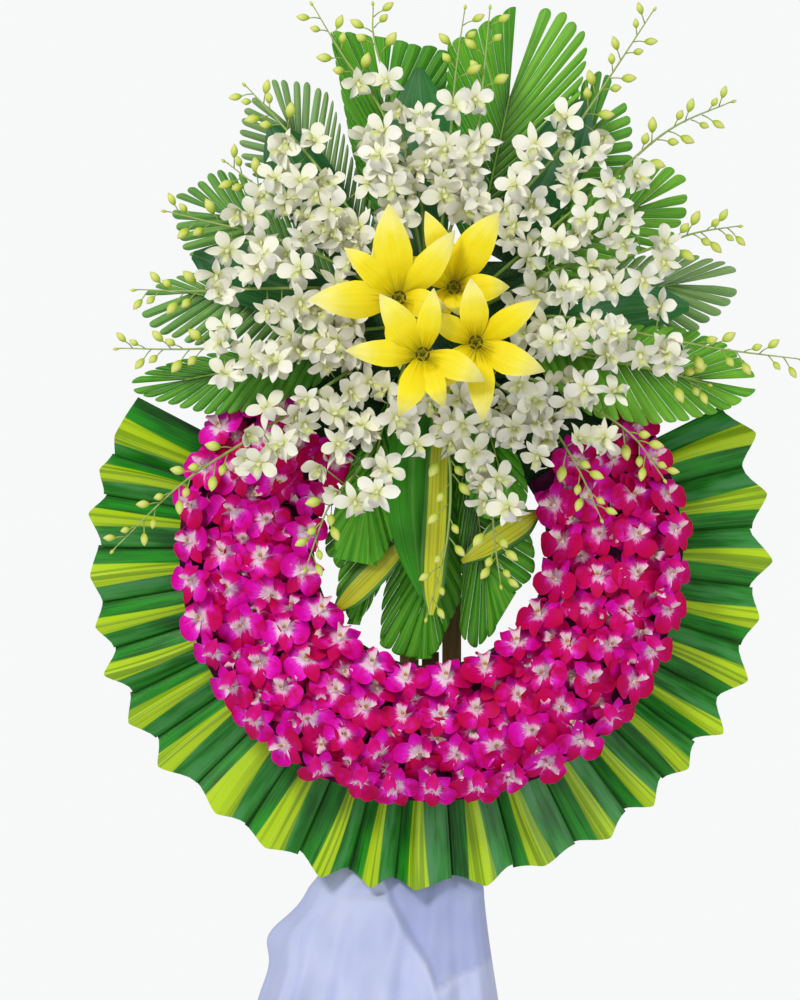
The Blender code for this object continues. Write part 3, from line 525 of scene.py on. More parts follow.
def striped_material(name, green_dark, green_mid, lime, olive, painted_sheen):
    """Variegated leaf: a lime stripe with olive streaks on the ridge, deep green at both sides, patches of
    painted sheen on the falling side and painted shade at both edges.

    The tint's fourth value is the stripe's half width in shares of the leaf."""
    n = Nodes(name, 0.36, 0.45)
    along, across, draw, width = n.tint()
    seed = n.times(draw, 53.0)
    fine = n.streaks(across, 42.0, along, 1.1, seed, 3.0, 0.6)
    slow = n.streaks(across, 5.0, along, 2.4, seed, 2.0)
    green = n.ramp(n.about(fine, 0.9, slow), (0.25, *green_dark), (0.62, *green_mid))
    # Painted sheen: grey-blue patches on the side that falls to the valley
    falling = n.ramp(across, (0.56, 0), (0.70, 1), (0.93, 0.7), (1.0, 0))
    sheen_patch = n.ramp(slow, (0.44, 0), (0.66, 1))
    green = n.mix(n.times(n.times(sheen_patch, falling), 0.55), green, painted_sheen)
    # Painted shade: darker at both edges, in the creases where the leaves overlap
    crease_shade = n.ramp(across, (0.0, 0.30), (0.16, 1), (0.95, 1), (1.0, 0.55))
    green = n.mix(1.0, green, crease_shade, "MULTIPLY")
    bands = n.streaks(across, 15.0, along, 0.5, seed, 1.0)
    bright = n.ramp(bands, (0.40, *olive), (0.52, *lime))
    offset = n.math("MULTIPLY_ADD", draw, 0.05, n.math("SUBTRACT", across, 0.525))
    inside = n.math("SUBTRACT", width, n.about(fine, 0.020, n.math("ABSOLUTE", offset)))
    mask = n.ramp(n.math("MULTIPLY_ADD", inside, 18.0, 0.5), (0.3, 0), (0.7, 1))
    return n.finish(n.mix(mask, green, bright), fine, 0.35, 0.0012)


def wood_material(name, dark, light, scale, stretch):
    n = Nodes(name, 0.62, 0.3)
    mapping = n.make("ShaderNodeMapping")
    mapping.inputs["Scale"].default_value = stretch
    n.link(n.position(), mapping.inputs["Vector"])
    grain = n.noise(mapping.outputs[0], scale, 6.0, 0.65)
    tone = n.math("MULTIPLY_ADD", n.noise(n.position(), 6.0), 0.3, n.times(grain, 0.8))
    n.link(n.ramp(grain, (0.3, 0.72), (0.7, 0.5)), n.surface["Roughness"])
    return n.finish(n.ramp(tone, (0.32, *dark), (0.70, *light)), grain, 0.5, 0.0015)


def foam_material():
    n = Nodes("floral_foam", 0.92, 0.1)
    cells = n.make("ShaderNodeTexVoronoi")
    cells.inputs["Scale"].default_value = 420.0
    n.link(n.position(), cells.inputs["Vector"])
    broad = n.times(n.noise(n.position(), 24.0, 3.0), 0.6)
    tone = n.math("MULTIPLY_ADD", cells.outputs["Distance"], 0.6, broad)
    # The foam's own green, darkened to near black: partly its colour, partly painted shade for the gaps
    # between the flowers
    colour = n.ramp(tone, (0.25, 0.010, 0.030, 0.012), (0.75, 0.030, 0.085, 0.030))
    return n.finish(colour, cells.outputs["Distance"], 0.7, 0.0015)


def cloth_material():
    """Pale satin, with painted shade: a little darker where the tint's third value says that it lies in one
    layer.
    """
    n = Nodes("drape_satin", 0.55, 0.35)
    n.surface["Sheen Weight"].default_value = 0.35
    n.surface["Sheen Roughness"].default_value = 0.4
    weave = n.make("ShaderNodeTexWave", wave_type="BANDS", bands_direction="Z")
    weave.inputs["Scale"].default_value = 420.0
    weave.inputs["Distortion"].default_value = 1.5
    n.link(n.position(), weave.inputs["Vector"])
    broad = n.noise(n.position(), 9.0, 3.0)
    tone = n.math("MULTIPLY_ADD", weave.outputs["Fac"], 0.10, n.times(broad, 0.9))
    colour = n.ramp(tone, (0.25, 0.52, 0.58, 0.90), (0.55, 0.62, 0.68, 0.97), (0.8, 0.74, 0.78, 0.99))
    # Painted shade: the cloth in one layer, beside the panel that lies over it, is darker
    layers = n.ramp(n.tint()[2], (0.0, 0.76, 0.78, 0.86), (1.0, 1))
    return n.finish(n.mix(1.0, colour, layers, "MULTIPLY"), weave.outputs["Fac"], 0.15, 0.0006)


# Orchid ring


def off_bed(angle, radius, lean):
    """Direction out of the ring, and where a head faces that leans by its place across the bed."""
    turn = math.radians(angle)
    tilt = math.radians((radius - BED_CROWN) / LEAN_REACH * lean)
    outward = np.array([math.cos(turn), 0.0, math.sin(turn)])
    return outward, outward * math.sin(tilt) + FRONT * math.cos(tilt)


def build_beds(material):
    chance = random.Random(7)
    heads = []
    for row, (radius, count) in enumerate(BLOOM_ROWS):
        for k in range(count):
            part = (k + 0.5 + (0.25 if row % 2 else -0.25)) / count
            angle = BED_START + BED_SPAN * part + chance.uniform(-1.0, 1.0) * 160 / radius
            distance = radius + chance.uniform(-3.5, 3.5)
            size = BLOOM_RADIUS * chance.uniform(0.93, 1.07)
            # The roll of the head in the solids, drawn here too so that the heads stay in the same places
            chance.uniform(-math.pi, math.pi)
            heads.append((angle, distance, size, chance.random()))
    own = random.Random(11)
    shapes = [orchid(own, own.uniform(0.84, 1.0), 0.30, 0.47) for _ in range(BLOOM_SHAPES)]
    radii = np.array((BED_INNER - 1, BED_INNER, 150, BED_CROWN, 222, BED_OUTER, BED_OUTER + 1))
    depth = bed_depth(radii) + BED_EDGE
    depth[[0, -1]] = FOAM_FRONT - GAP
    step = BED_SPAN / BED_NODES
    for number in range(BED_NODES):
        first = BED_START + step * number
        foliage = Foliage()
        angles = np.linspace(first, first + step, 26)[:, None]
        # Core sheet under the heads, whose dark colour is painted shade
        foliage.grid(place(*polar(angles, radii), depth), 0.5, 0.5, 0.5, CORE_SHADE)
        for angle, radius, size, draw in heads:
            if not first <= angle < first + step:
                continue
            outward, facing = off_bed(angle, radius, BLOOM_LEAN)
            sway = np.cross(outward, BACK) * own.uniform(-0.25, 0.30) + outward * 0.05
            sway[2] += own.uniform(-0.15, 0.25)
            inset = FIRST_ROW_INSET if radius < FIRST_ROW_ENDS else 0.0
            depth_at = bed_depth(radius) - BLOOM_LIFT - 0.004 * draw
            centre = place(*polar(angle, radius - inset), depth_at)
            roll = math.pi + own.uniform(-0.75, 0.75)
            warmth = 0.48 + 0.275 * math.cos(math.radians(angle) - 0.3)
            put_orchid(foliage, shapes, own, centre, facing + sway, roll, size * UNIT, warmth)
        for radius, count in FILL_ROWS:
            for k in range(count):
                angle = BED_START + BED_SPAN * (k + 0.5) / count + own.uniform(-1.5, 1.5)
                if not first <= angle < first + step:
                    continue
                facing = off_bed(angle, radius, FILL_LEAN)[1]
                facing = facing + np.array([own.uniform(-0.3, 0.3), 0.0, own.uniform(-0.3, 0.3)])
                centre = place(*polar(angle, radius + own.uniform(-3, 3)), bed_depth(radius) - FILL_LIFT)
                roll = own.uniform(-3.1, 3.1)
                put_orchid(foliage, shapes, own, centre, facing, roll, FILL_RADIUS * UNIT, 0.85)
        stand_in(foliage, "orchid_bed_" + str(number + 1), material)


# Collar


COLLAR_PEAKS = (
    (113, 435), (98, 469), (87, 514), (88, 577), (94, 628), (103, 676),
    (127, 725), (157, 768), (215, 815), (265, 850), (320, 880), (370, 890),
    (415, 893), (487, 888), (545, 868), (612, 840), (655, 808), (690, 770),
    (725, 735), (750, 682), (761, 620), (775, 562), (769, 494), (758, 433),
)

COLLAR_NODES = 4
COLLAR_FIRST = 152.5
COLLAR_LAST = 386.0
COLLAR_INNER = 190.0
COLLAR_VALLEY = 331.0
COLLAR_PLEAT = 0.013
COLLAR_SEAT = 0.0016
BROAD_STRIPES = (8, 9)


def fold_leaf(foliage, chance, k, angle, reach, low, high):
    """One leaf of the collar: a blunt peak on the ridge, steep to one side and gentle to the other."""
    s = np.concatenate([np.linspace(-1, -0.06, 16), np.linspace(0, 1.05, 18)])
    r = np.linspace(0, 1, 20)[:, None]
    valley = COLLAR_VALLEY + 5 * math.cos(math.radians(angle - 205)) + 2 * math.sin(2.3 * k)
    turn = angle + np.where(s < 0, angle - low, high - angle) * s
    turn = turn + chance.uniform(-1.0, 1.0) * np.sin(math.pi * r) * (1 - np.abs(s))
    rim = np.interp(np.abs(s), (0, 0.10, 0.30, 0.55, 0.80, 1.0), (0.0, 0.06, 0.32, 0.66, 0.92, 1.0))
    rim = reach - (reach - valley) * rim + chance.uniform(0.2, 0.6) * np.sin(5 * s + chance.uniform(0, 6))
    lift = np.where(s < 0, 1.95 * np.abs(s) ** 0.85, 1.40 * np.abs(s) ** 1.1) - 1.0
    swell = np.interp(r, (0, 0.5, 1), (0.25, 0.80, 1.0))
    wave = 0.0010 * np.sin(6 * r + 3 * s + chance.uniform(0, 6)) * r
    stripe = 1.35 if k in BROAD_STRIPES else chance.uniform(0.86, 1.16)
    across = 0.5 + np.where(s < 0, 0.5, 0.5 / 1.05) * s
    spot = polar(turn, COLLAR_INNER + (rim - COLLAR_INNER) * r)
    points = place(*spot, COLLAR_SEAT + COLLAR_PLEAT * lift * swell + wave)
    foliage.grid(points, r, across, chance.random(), stripe * (0.055 + 0.135 * r))


def build_collar(material):
    ridges = []
    for u, v in COLLAR_PEAKS:
        angle = math.degrees(math.atan2(RING_V - v, u - RING_U))
        ridges.append((angle if angle > 90 else angle + 360, math.hypot(u - RING_U, v - RING_V) + 2))
    turns = [angle for angle, _ in ridges]
    edges = [COLLAR_FIRST] + [(a + b) / 2 for a, b in zip(turns, turns[1:])] + [COLLAR_LAST]
    chance = random.Random(5)
    size = len(ridges) // COLLAR_NODES
    for number in range(COLLAR_NODES):
        foliage = Foliage()
        for k in range(number * size, (number + 1) * size):
            fold_leaf(foliage, chance, k, *ridges[k], edges[k], edges[k + 1])
        stand_in(foliage, "collar_" + str(number + 1), material)


# Palm fronds


# Leaflets of each frond, on the anticlockwise and the clockwise side: width, share of the length where they
# part, width left at the ends, share that is rounded off, tone and greyness
FROND_LOOKS = {
    "frond_top_left": ((15, 0.96, 0.99, 0.03, 0.56, 0.0), (15, 0.96, 0.99, 0.03, 0.48, 0.0)),
    "frond_top_right": ((15, 0.96, 0.99, 0.03, 0.52, 0.0), (16, 0.42, 0.80, 0.07, 0.84, 0.05)),
    "frond_upper_left": ((12, 0.34, 0.62, 0.08, 0.50, 0.90), (12, 0.34, 0.62, 0.08, 0.54, 0.90)),
    "frond_left": ((12, 0.62, 0.78, 0.08, 0.56, 0.45), (12, 0.62, 0.78, 0.08, 0.52, 0.40)),
    "frond_left_low": ((13, 0.46, 0.72, 0.08, 0.66, 0.50), (13, 0.46, 0.72, 0.08, 0.62, 0.45)),
    "frond_left_bottom": ((13, 0.76, 0.86, 0.08, 0.50, 0.10), (13, 0.76, 0.86, 0.08, 0.50, 0.10)),
    "frond_right_top": ((14, 0.56, 0.78, 0.08, 0.72, 0.15), (14, 0.54, 0.76, 0.08, 0.76, 0.15)),
    "frond_right_upper": ((15, 0.58, 0.80, 0.08, 0.90, 0.05), (15, 0.56, 0.78, 0.08, 0.86, 0.10)),
    "frond_right": ((14, 0.60, 0.80, 0.08, 0.86, 0.90), (14, 0.60, 0.80, 0.08, 0.80, 0.80)),
    "frond_right_bottom": ((14, 0.80, 0.90, 0.05, 0.80, 0.05), (14, 0.80, 0.90, 0.05, 0.86, 0.05)),
}
HOLE_LOOKS = ((15, 0.92, 0.95, 0.04, 0.46, 0.0),) * 2

# Depth of a frond's foot and tip
LAYERS = {"back": (-0.0690, -0.0200), "middle": (-0.0780, -0.0540), "front": (-0.1130, -0.1130)}

# Foot and tip of the rib, layer, and the rim of each side from the foot to the tip
FRONDS = (
    ("frond_top_left", (404, 261.6), (384, 100), "back",
     ((362, 200), (345, 120), (328, 22), (350, 27), (372, 31)),
     ((428, 215), (444, 140), (452, 44), (420, 40), (394, 34))),
    ("frond_top_right", (474, 261.6), (510, 95), "middle",
     ((452, 215), (446, 130), (447, 36), (472, 26), (496, 11), (517, 2)),
     ((520, 210), (572, 140), (590, 60), (591, 28), (568, 8), (543, 1))),
    ("frond_upper_left", (370, 261.6), (286, 120), "middle",
     ((330, 254), (282, 215), (240, 160), (238, 132), (240, 110), (254, 92)),
     ((378, 215), (350, 150), (330, 88), (305, 79), (284, 75), (266, 76))),
    ("frond_left", (339.6, 285), (222, 212), "back",
     ((318, 300), (262, 292), (200, 262), (181, 250), (172, 226), (169, 206)),
     ((330, 255), (290, 215), (246, 172), (216, 164), (192, 180), (171, 194))),
    ("frond_left_low", (339.6, 320), (190, 292), "middle",
     ((318, 345), (250, 352), (190, 345), (157, 333), (146, 324), (137, 310)),
     ((318, 300), (260, 280), (215, 268), (180, 272), (158, 280), (138, 296))),
    ("frond_left_bottom", (339.6, 350), (185, 380), "front",
     ((320, 385), (262, 412), (205, 416), (165, 404), (140, 396), (129, 389)),
     ((320, 345), (262, 345), (215, 352), (172, 362), (142, 372), (129, 384))),
    ("frond_right_top", (506, 261.6), (598, 120), "back",
     ((505, 215), (535, 150), (566, 95), (590, 70), (608, 64), (616, 74)),
     ((545, 256), (600, 225), (640, 165), (634, 142), (636, 124), (628, 94))),
    ("frond_right_upper", (530.3, 275), (640, 205), "middle",
     ((535, 240), (585, 190), (632, 158), (653, 156), (675, 165), (692, 178)),
     ((560, 285), (625, 262), (672, 240), (686, 224), (689, 208), (692, 188))),
    ("frond_right", (530.3, 305), (680, 282), "back",
     ((545, 275), (610, 258), (680, 248), (715, 256), (738, 262), (744, 270)),
     ((560, 325), (640, 338), (692, 336), (718, 318), (735, 302), (744, 284))),
    ("frond_right_bottom", (530.3, 346), (700, 380), "front",
     ((550, 322), (620, 322), (690, 328), (728, 344), (746, 362), (757, 378)),
     ((548, 385), (590, 418), (650, 427), (700, 420), (738, 407), (757, 390))),
)
CLOSED_FRONDS = ("frond_top_left",)

HOLE_PALMS = (
    ("hole_fan_middle", (430, 378.5, -0.0715), (428, 600, -0.022),
     ((450, 430), (462, 520), (466, 590), (447, 636), (438, 657), (429, 660)),
     ((410, 430), (400, 520), (380, 604), (378, 646), (400, 659), (418, 661))),
    ("hole_fan_left", (404, 378.5, -0.078), (376, 570, -0.048),
     ((416, 430), (410, 500), (396, 560), (378, 594), (366, 614), (356, 626)),
     ((376, 430), (350, 482), (328, 523), (322, 552), (338, 570), (335, 600), (350, 625))),
    ("hole_fan_right", (460, 378.5, -0.078), (486, 570, -0.048),
     ((492, 425), (520, 455), (527, 484), (526, 518), (538, 551), (535, 580), (513, 595)),
     ((446, 430), (456, 500), (462, 570), (459, 640), (478, 652), (498, 630))),
    ("hole_palm_left", (394, 378.5, -0.086), (366, 500, -0.086),
     ((404, 420), (402, 470), (398, 520), (388, 556), (372, 566)),
     ((376, 425), (352, 460), (338, 497), (328, 528), (337, 558))),
    ("hole_palm_right", (474, 378.5, -0.086), (500, 470, -0.086),
     ((492, 415), (512, 445), (525, 470), (530, 494), (524, 510)),
     ((462, 420), (460, 460), (468, 500), (482, 522), (505, 518))),
)

FROND_PLEAT = 0.0020
RIB_LIFT = 0.0026


def rim_point(rim, at):
    """Point at a share of the rim's length."""
    steps = np.linalg.norm(np.diff(rim, axis=0), axis=1)
    reached = np.concatenate([[0.0], np.cumsum(steps)]) / steps.sum()
    return np.array([np.interp(at, reached, rim[:, 0]), np.interp(at, reached, rim[:, 1])])


def build_frond(node, base, tip, rims, looks, material, seed, closed):
    """Trimmed palm frond: pleated leaflets side by side along the rib, parting towards their blunt ends.

    looks has the leaflets' width, where they part, their width and rounding at the ends, tone and greyness.
    A closed frond ends in one more leaflet between the ends of its rims."""
    chance = random.Random(seed)
    foliage = Foliage()
    base = np.array(base)
    tip = np.array(tip)
    s = np.linspace(-1, 1, 5)
    across = 0.5 + 0.5 * s
    pleat = FROND_PLEAT * (2 * np.abs(s) - 1)
    for rim, (width, parting, slack, rounding, tone, grey) in zip(rims, looks):
        t = np.concatenate([np.linspace(0, 1 - rounding, 12), 1 - rounding * np.array((0.5, 0.15, 0.0))])
        t = t[:, None]
        rim = np.array(rim, float)
        count = max(5, round(float(np.linalg.norm(np.diff(rim, axis=0), axis=1).sum()) / width))
        parted = np.clip((t - parting) / (1 - parting), 0, 1)
        blunt = np.sqrt(np.clip(1 - (np.clip(t - 1 + rounding, 0, 1) / rounding) ** 2 * 0.94, 0.02, 1))
        for k in range(count):
            trim = chance.uniform(0.965, 1.0)
            own_slack = slack * chance.uniform(0.88, 1.08)
            draw = np.clip(tone + chance.uniform(-0.20, 0.20), 0, 1)
            lean = chance.uniform(-0.12, 0.12)
            edges = []
            for share in ((k + 0.01) / count, (k + 0.99) / count):
                foot = (base + (tip - base) * share)[:2]
                edges.append(foot + (rim_point(rim, share) - foot) * trim * t)
            a, b = edges
            centre = (a + b) / 2 + (b - a) * lean * parted
            half = (b - a) / 2 * (1 - (1 - own_slack) * parted) * blunt
            grid = centre[:, None] + half[:, None] * s[:, None]
            depth = base[2] + (tip[2] - base[2]) * (k + 0.5) / count
            sway = chance.uniform(-0.0020, 0.0020) * t**2
            points = place(grid[..., 0], grid[..., 1], depth + pleat + sway)
            foliage.grid(points, t, across, draw, 0.45 * grey)
    if closed:
        foot = (base + (tip - base) * 0.90)[:2]
        t = np.linspace(0, 1, 12)[:, None]
        a = foot - (3.0, 0.0) + (rims[1][-1] - foot) * t
        b = foot + (3.0, 0.0) + (rims[0][-1] - foot) * t
        grid = ((a + b) / 2)[:, None] + (b - a)[:, None] * 0.55 * s[:, None]
        foliage.grid(place(grid[..., 0], grid[..., 1], tip[2] + 0.0024 + pleat), t, across, 0.5, 0.0)
    stations = np.linspace(0, 1, 10)
    rib = base + (tip - base) * stations[:, None]
    path = place(rib[:, 0], rib[:, 1], rib[:, 2] - RIB_LIFT)
    tube(foliage, path, 0.0017 - 0.0009 * stations, STALK, 0.5)
    stand_in(foliage, node, material)


# Broad and strap leaves: points of the spine and half widths along it


BROAD_LEAVES = (
    ("broad_leaf_top",
     ((430, 261.3, -0.097), (424, 205, -0.093), (421, 150, -0.087), (420, 105, -0.081), (419, 66, -0.074)),
     (16, 26, 32, 26, 4)),
    ("broad_leaf_left",
     ((352, 259.5, -0.096), (328, 220, -0.092), (303, 180, -0.086), (284, 148, -0.08), (270, 124, -0.075)),
     (15, 28, 32, 24, 4)),
    ("broad_leaf_right",
     ((500, 259.8, -0.096), (526, 215, -0.092), (550, 170, -0.086), (572, 128, -0.079), (586, 98, -0.073)),
     (15, 28, 32, 24, 4)),
    ("broad_leaf_side_left",
     ((338.7, 302, -0.096), (295, 290, -0.092), (250, 275, -0.086), (216, 263, -0.08), (192, 254, -0.075)),
     (14, 28, 31, 22, 4)),
    ("broad_leaf_side_right",
     ((530.8, 325, -0.096), (580, 315, -0.092), (625, 308, -0.086), (660, 306, -0.08), (690, 306, -0.075)),
     (14, 27, 30, 20, 4)),
)

HOLE_LEAVES = (
    ("hole_leaf_green", "green",
     ((418, 379.0, -0.1), (414, 440, -0.101), (412, 500, -0.101), (416, 550, -0.1), (422, 596, -0.099)),
     (12, 23, 26, 19, 3)),
    ("hole_leaf_striped", "striped",
     ((445, 379.0, -0.111), (440, 440, -0.112), (437, 510, -0.112), (433, 580, -0.111), (431, 615, -0.11)),
     (9, 12, 14, 13, 3)),
    ("hole_leaf_left", "striped",
     ((333.4, 612.8, -0.058), (350, 597, -0.069), (372, 575, -0.072),
      (392, 555, -0.0745), (410, 538, -0.075)),
     (2.5, 12, 14, 11, 3)),
    ("hole_leaf_right", "striped",
     ((540.6, 511.7, -0.058), (523, 523, -0.0725), (504, 535, -0.074),
      (484, 548, -0.075), (462, 562, -0.0755)),
     (2.5, 14, 16, 13, 3)),
)


def build_blade(node, spine, widths, fold, material, seed, stripe=0.0, wave=0.0010):
    """Single leaf, folded along its spine and a little wavy at its edges."""
    foliage = Foliage()
    path = smooth_path(spine, 26)
    half = np.maximum(smooth_path([(w,) for w in widths], 26), 0.6)
    t = np.linspace(0, 1, 26)[:, None]
    s = np.linspace(-1, 1, 11)
    ahead = np.gradient(path[:, :2], axis=0)
    ahead /= np.linalg.norm(ahead, axis=1)[:, None]
    u = path[:, :1] - ahead[:, 1:] * half * s
    v = path[:, 1:2] + ahead[:, :1] * half * s
    depth = path[:, 2:] + fold * half * UNIT * np.abs(s) ** 1.2
    depth = depth + wave * np.sin(7 * t + 2 * np.sign(s) + seed) * s**2
    foliage.grid(place(u, v, depth), t, 0.5 + 0.5 * s, random.Random(seed).random(), stripe)
    stand_in(foliage, node, material)


# White sprays


# First and last angle of the sector that a spray keeps to, and its stems: five points, where the open heads
# start and end as shares of the stem, and how many heads and buds it has
SPRAYS = (
    ("spray_top_left", 93, 121, (
        (((424, 271), (412, 215), (385, 120), (345, 60), (312, 4)), 0.22, 0.60, 3, 4),
        (((424, 271), (420, 200), (398, 120), (375, 45), (373, 6)), 0.30, 0.64, 3, 3),
    )),
    ("spray_top", 69, 93, (
        (((437, 270), (444, 205), (450, 140), (456, 70), (465, 8)), 0.24, 0.64, 3, 3),
        (((437, 270), (460, 200), (476, 140), (484, 70), (490, 8)), 0.24, 0.60, 3, 3),
    )),
    ("spray_top_right", 45, 69, (
        (((464, 280), (505, 215), (560, 150), (608, 80), (655, 8)), 0.20, 0.58, 4, 6),
    )),
    ("spray_right_upper", 24, 45, (
        (((480, 290), (545, 235), (610, 180), (670, 130), (733, 101)), 0.16, 0.56, 5, 6),
    )),
    ("spray_right", 4, 24, (
        (((486, 305), (560, 270), (625, 258), (690, 235), (738, 226)), 0.14, 0.62, 6, 5),
    )),
    ("spray_right_low", -20, 4, (
        (((488, 323), (560, 318), (640, 335), (720, 350), (800, 360)), 0.12, 0.60, 6, 5),
        (((488, 323), (550, 342), (610, 360), (660, 372), (705, 384)), 0.20, 0.75, 3, 3),
    )),
    ("spray_left_top", 121, 150, (
        (((403, 278), (360, 225), (315, 165), (275, 118), (246, 86)), 0.20, 0.62, 4, 4),
        (((403, 278), (340, 245), (290, 208), (255, 185), (226, 162)), 0.22, 0.66, 3, 3),
    )),
    ("spray_left", 150, 179, (
        (((388, 296), (330, 262), (270, 238), (215, 224), (166, 211)), 0.18, 0.66, 4, 3),
        (((388, 296), (330, 290), (260, 290), (195, 292), (136, 290)), 0.20, 0.66, 4, 4),
    )),
    ("spray_left_low", 179, 203, (
        (((384, 328), (330, 335), (270, 345), (190, 350), (118, 349)), 0.14, 0.64, 7, 5),
    )),
    ("spray_left_hanging", 203, 229, (
        (((388, 345), (330, 385), (262, 432), (185, 482), (112, 552)), 0.12, 0.55, 6, 7),
    )),
    ("spray_hole_left", 229, 256, (
        (((405, 364), (388, 415), (362, 465), (330, 505), (306, 568)), 0.14, 0.66, 6, 4),
    )),
    ("spray_hole_centre", 256, 279, (
        (((433, 372), (440, 420), (450, 470), (446, 545), (426, 618)), 0.10, 0.34, 2, 6),
    )),
    ("spray_hole_right", 279, 299, (
        (((450, 369), (474, 420), (488, 480), (494, 540), (500, 582)), 0.14, 0.62, 5, 4),
    )),
    ("spray_ring_right", 299, 340, (
        (((464, 361), (510, 395), (545, 420), (575, 465), (600, 518)), 0.14, 0.62, 5, 4),
        (((464, 361), (530, 380), (580, 402), (630, 435), (662, 478)), 0.30, 0.66, 3, 4),
    )),
)

# Small heads set between the large ones, for each large one
FILLERS = {
    "spray_top_left": 3.0,
    "spray_top": 3.0,
    "spray_right_upper": 1.6,
    "spray_right": 1.7,
    "spray_right_low": 1.6,
}
USUAL_FILLERS = 2.3


def stem_curve(points):
    """Points of a stem that leaves the foam block to the front and, where it rises, comes back a little."""
    rise = max(0.0, min(1.0, (SPRAY_V - points[-1][1]) / 60.0))
    depths = np.array((BLOCK_FRONT - GAP, -0.156, -0.152, -0.147, -0.140))
    depths += rise * np.array((0.0, 0.0, 0.004, 0.020, 0.040))
    return np.array([place(u, v, y) for (u, v), y in zip(points, depths)])


def point_along(curve, at):
    span = at * (len(curve) - 1)
    index = min(int(span), len(curve) - 2)
    return curve[index] + (curve[index + 1] - curve[index]) * (span - index)


def beside(curve, at, ahead=0.05):
    """A stem's point, the way that it heads there and the way to its side."""
    root = point_along(curve, at)
    heading = unit(point_along(curve, min(1, at + ahead)) - root)
    return root, heading, unit(np.cross(heading, BACK))


def off_middle(point, first, last):
    offset = point - place(SPRAY_U, SPRAY_V, 0.0)
    angle = math.degrees(math.atan2(offset[2], offset[0])) - (first + last) / 2
    return abs((angle + 180) % 360 - 180)


def add_heads(foliage, shapes, chance, own, curve, start, end, heads, first, last):
    """Open heads on short stalks, to both sides of a stem and inside the spray's sector."""
    for k in range(heads):
        root, _, side = beside(curve, start + (end - start) * k / max(1, heads - 1))
        swing = (1 if k % 2 else -1) * chance.uniform(*HEAD_SWING)
        for share in (1.0, -1.0, 0.35):
            centre = root + side * swing * share + FRONT * HEAD_LIFTS[k % 3]
            if off_middle(centre, first, last) < (last - first) / 2 - 4:
                break
        facing = side * swing * 10 + np.array([0.0, -1.0, -0.12])
        facing[0] += chance.uniform(-0.3, 0.3)
        size = HEAD_RADIUS * UNIT * chance.uniform(0.94, 1.08)
        roll = chance.uniform(-0.9, 0.9)
        facing = facing + np.array([own.uniform(-0.5, 0.5), 0.0, own.uniform(-0.5, 0.5)])
        put_orchid(foliage, shapes, own, centre, facing, roll, size, own.random())
        bend = (root + centre) / 2 + side * swing * 0.3
        path = smooth_path([root, bend, centre - unit(facing) * 0.002], 7)
        tube(foliage, path, STALK_RADIUS, STEM, own.random(), 5)


def add_fillers(foliage, shapes, half_open, own, curve, start, end, reach, fillers):
    """Small heads among the large ones, some of them half open towards the stem's end."""
    for k in range(fillers):
        at = start - 0.03 + (reach + 0.03 - start) * (k + own.random()) / fillers
        root, _, side = beside(curve, at)
        swing = own.uniform(-1, 1)
        fill = root + side * swing * FILLER_SWING + FRONT * own.uniform(*FILLER_LIFT)
        look = np.array([own.uniform(-0.9, 0.9), -0.9, own.uniform(-1.0, 0.7)]) + side * swing * 0.4
        kind = half_open if at > end - 0.06 and own.random() < 0.6 else shapes
        roll = own.uniform(-1.6, 1.6)
        size = FILLER_RADIUS * UNIT * own.uniform(0.85, 1.08)
        put_orchid(foliage, kind, own, fill, look, roll, size, own.random())
        tube(foliage, np.array([root, (root + fill) / 2, fill]), STALK_RADIUS, STEM, own.random(), 5)


def add_buds(foliage, own, curve, end, buds):
    """Buds to both sides of a stem's outer part, smaller towards its tip, and one at the tip."""
    for k in range(buds):
        at = end + (BUDS_END - end) * (k + 0.6) / buds
        root, heading, side = beside(curve, at, 0.03)
        side = side * (1 if k % 2 else -1)
        share = k / buds
        swell = BUD_RADIUS - BUD_RADIUS_LOSS * share
        lean = unit(heading * 0.9 + side + FRONT * 0.5)
        bud(foliage, root, lean, BUD_LENGTH - BUD_LENGTH_LOSS * share, swell, own)
        if k < buds - 1:
            late = point_along(curve, min(0.99, at + 0.35 * (BUDS_END - end) / buds))
            other = unit(heading * 1.1 - side * 0.8 + np.array([0.0, -0.3, -0.1]))
            length = LATE_BUD_LENGTH - LATE_BUD_LENGTH_LOSS * share
            bud(foliage, late, other, length, swell * 0.85, own)
    ahead = unit(point_along(curve, 1.0) - point_along(curve, 0.9))
    bud(foliage, point_along(curve, 0.975), ahead, 0.008, 0.0022, own)


def build_sprays(material):
    chance = random.Random(21)
    own = random.Random(22)
    shapes = [orchid(own, own.uniform(0.58, 1.0), 0.195, 0.30) for _ in range(HEAD_SHAPES)]
    half_open = [orchid(own, own.uniform(0.20, 0.50), 0.26, 0.36) for _ in range(HALF_OPEN_SHAPES)]
    radii = np.interp(np.linspace(0, 1, 24), (0, 0.5, 1), (0.0024, 0.0019, 0.0007))
    for node, first, last, stems in SPRAYS:
        foliage = Foliage()
        for points, start, end, heads, buds in stems:
            curve = stem_curve(points)
            tube(foliage, smooth_path(curve, 24), radii, STEM, 0.5)
            add_heads(foliage, shapes, chance, own, curve, start, end, heads, first, last)
            reach = end - 0.10 if node in ("spray_top_left", "spray_top") else end + 0.04
            fillers = int(heads * FILLERS.get(node, USUAL_FILLERS))
            add_fillers(foliage, shapes, half_open, own, curve, start, end, reach, fillers)
            add_buds(foliage, own, curve, end, buds)
        stand_in(foliage, node, material)


# Lilies


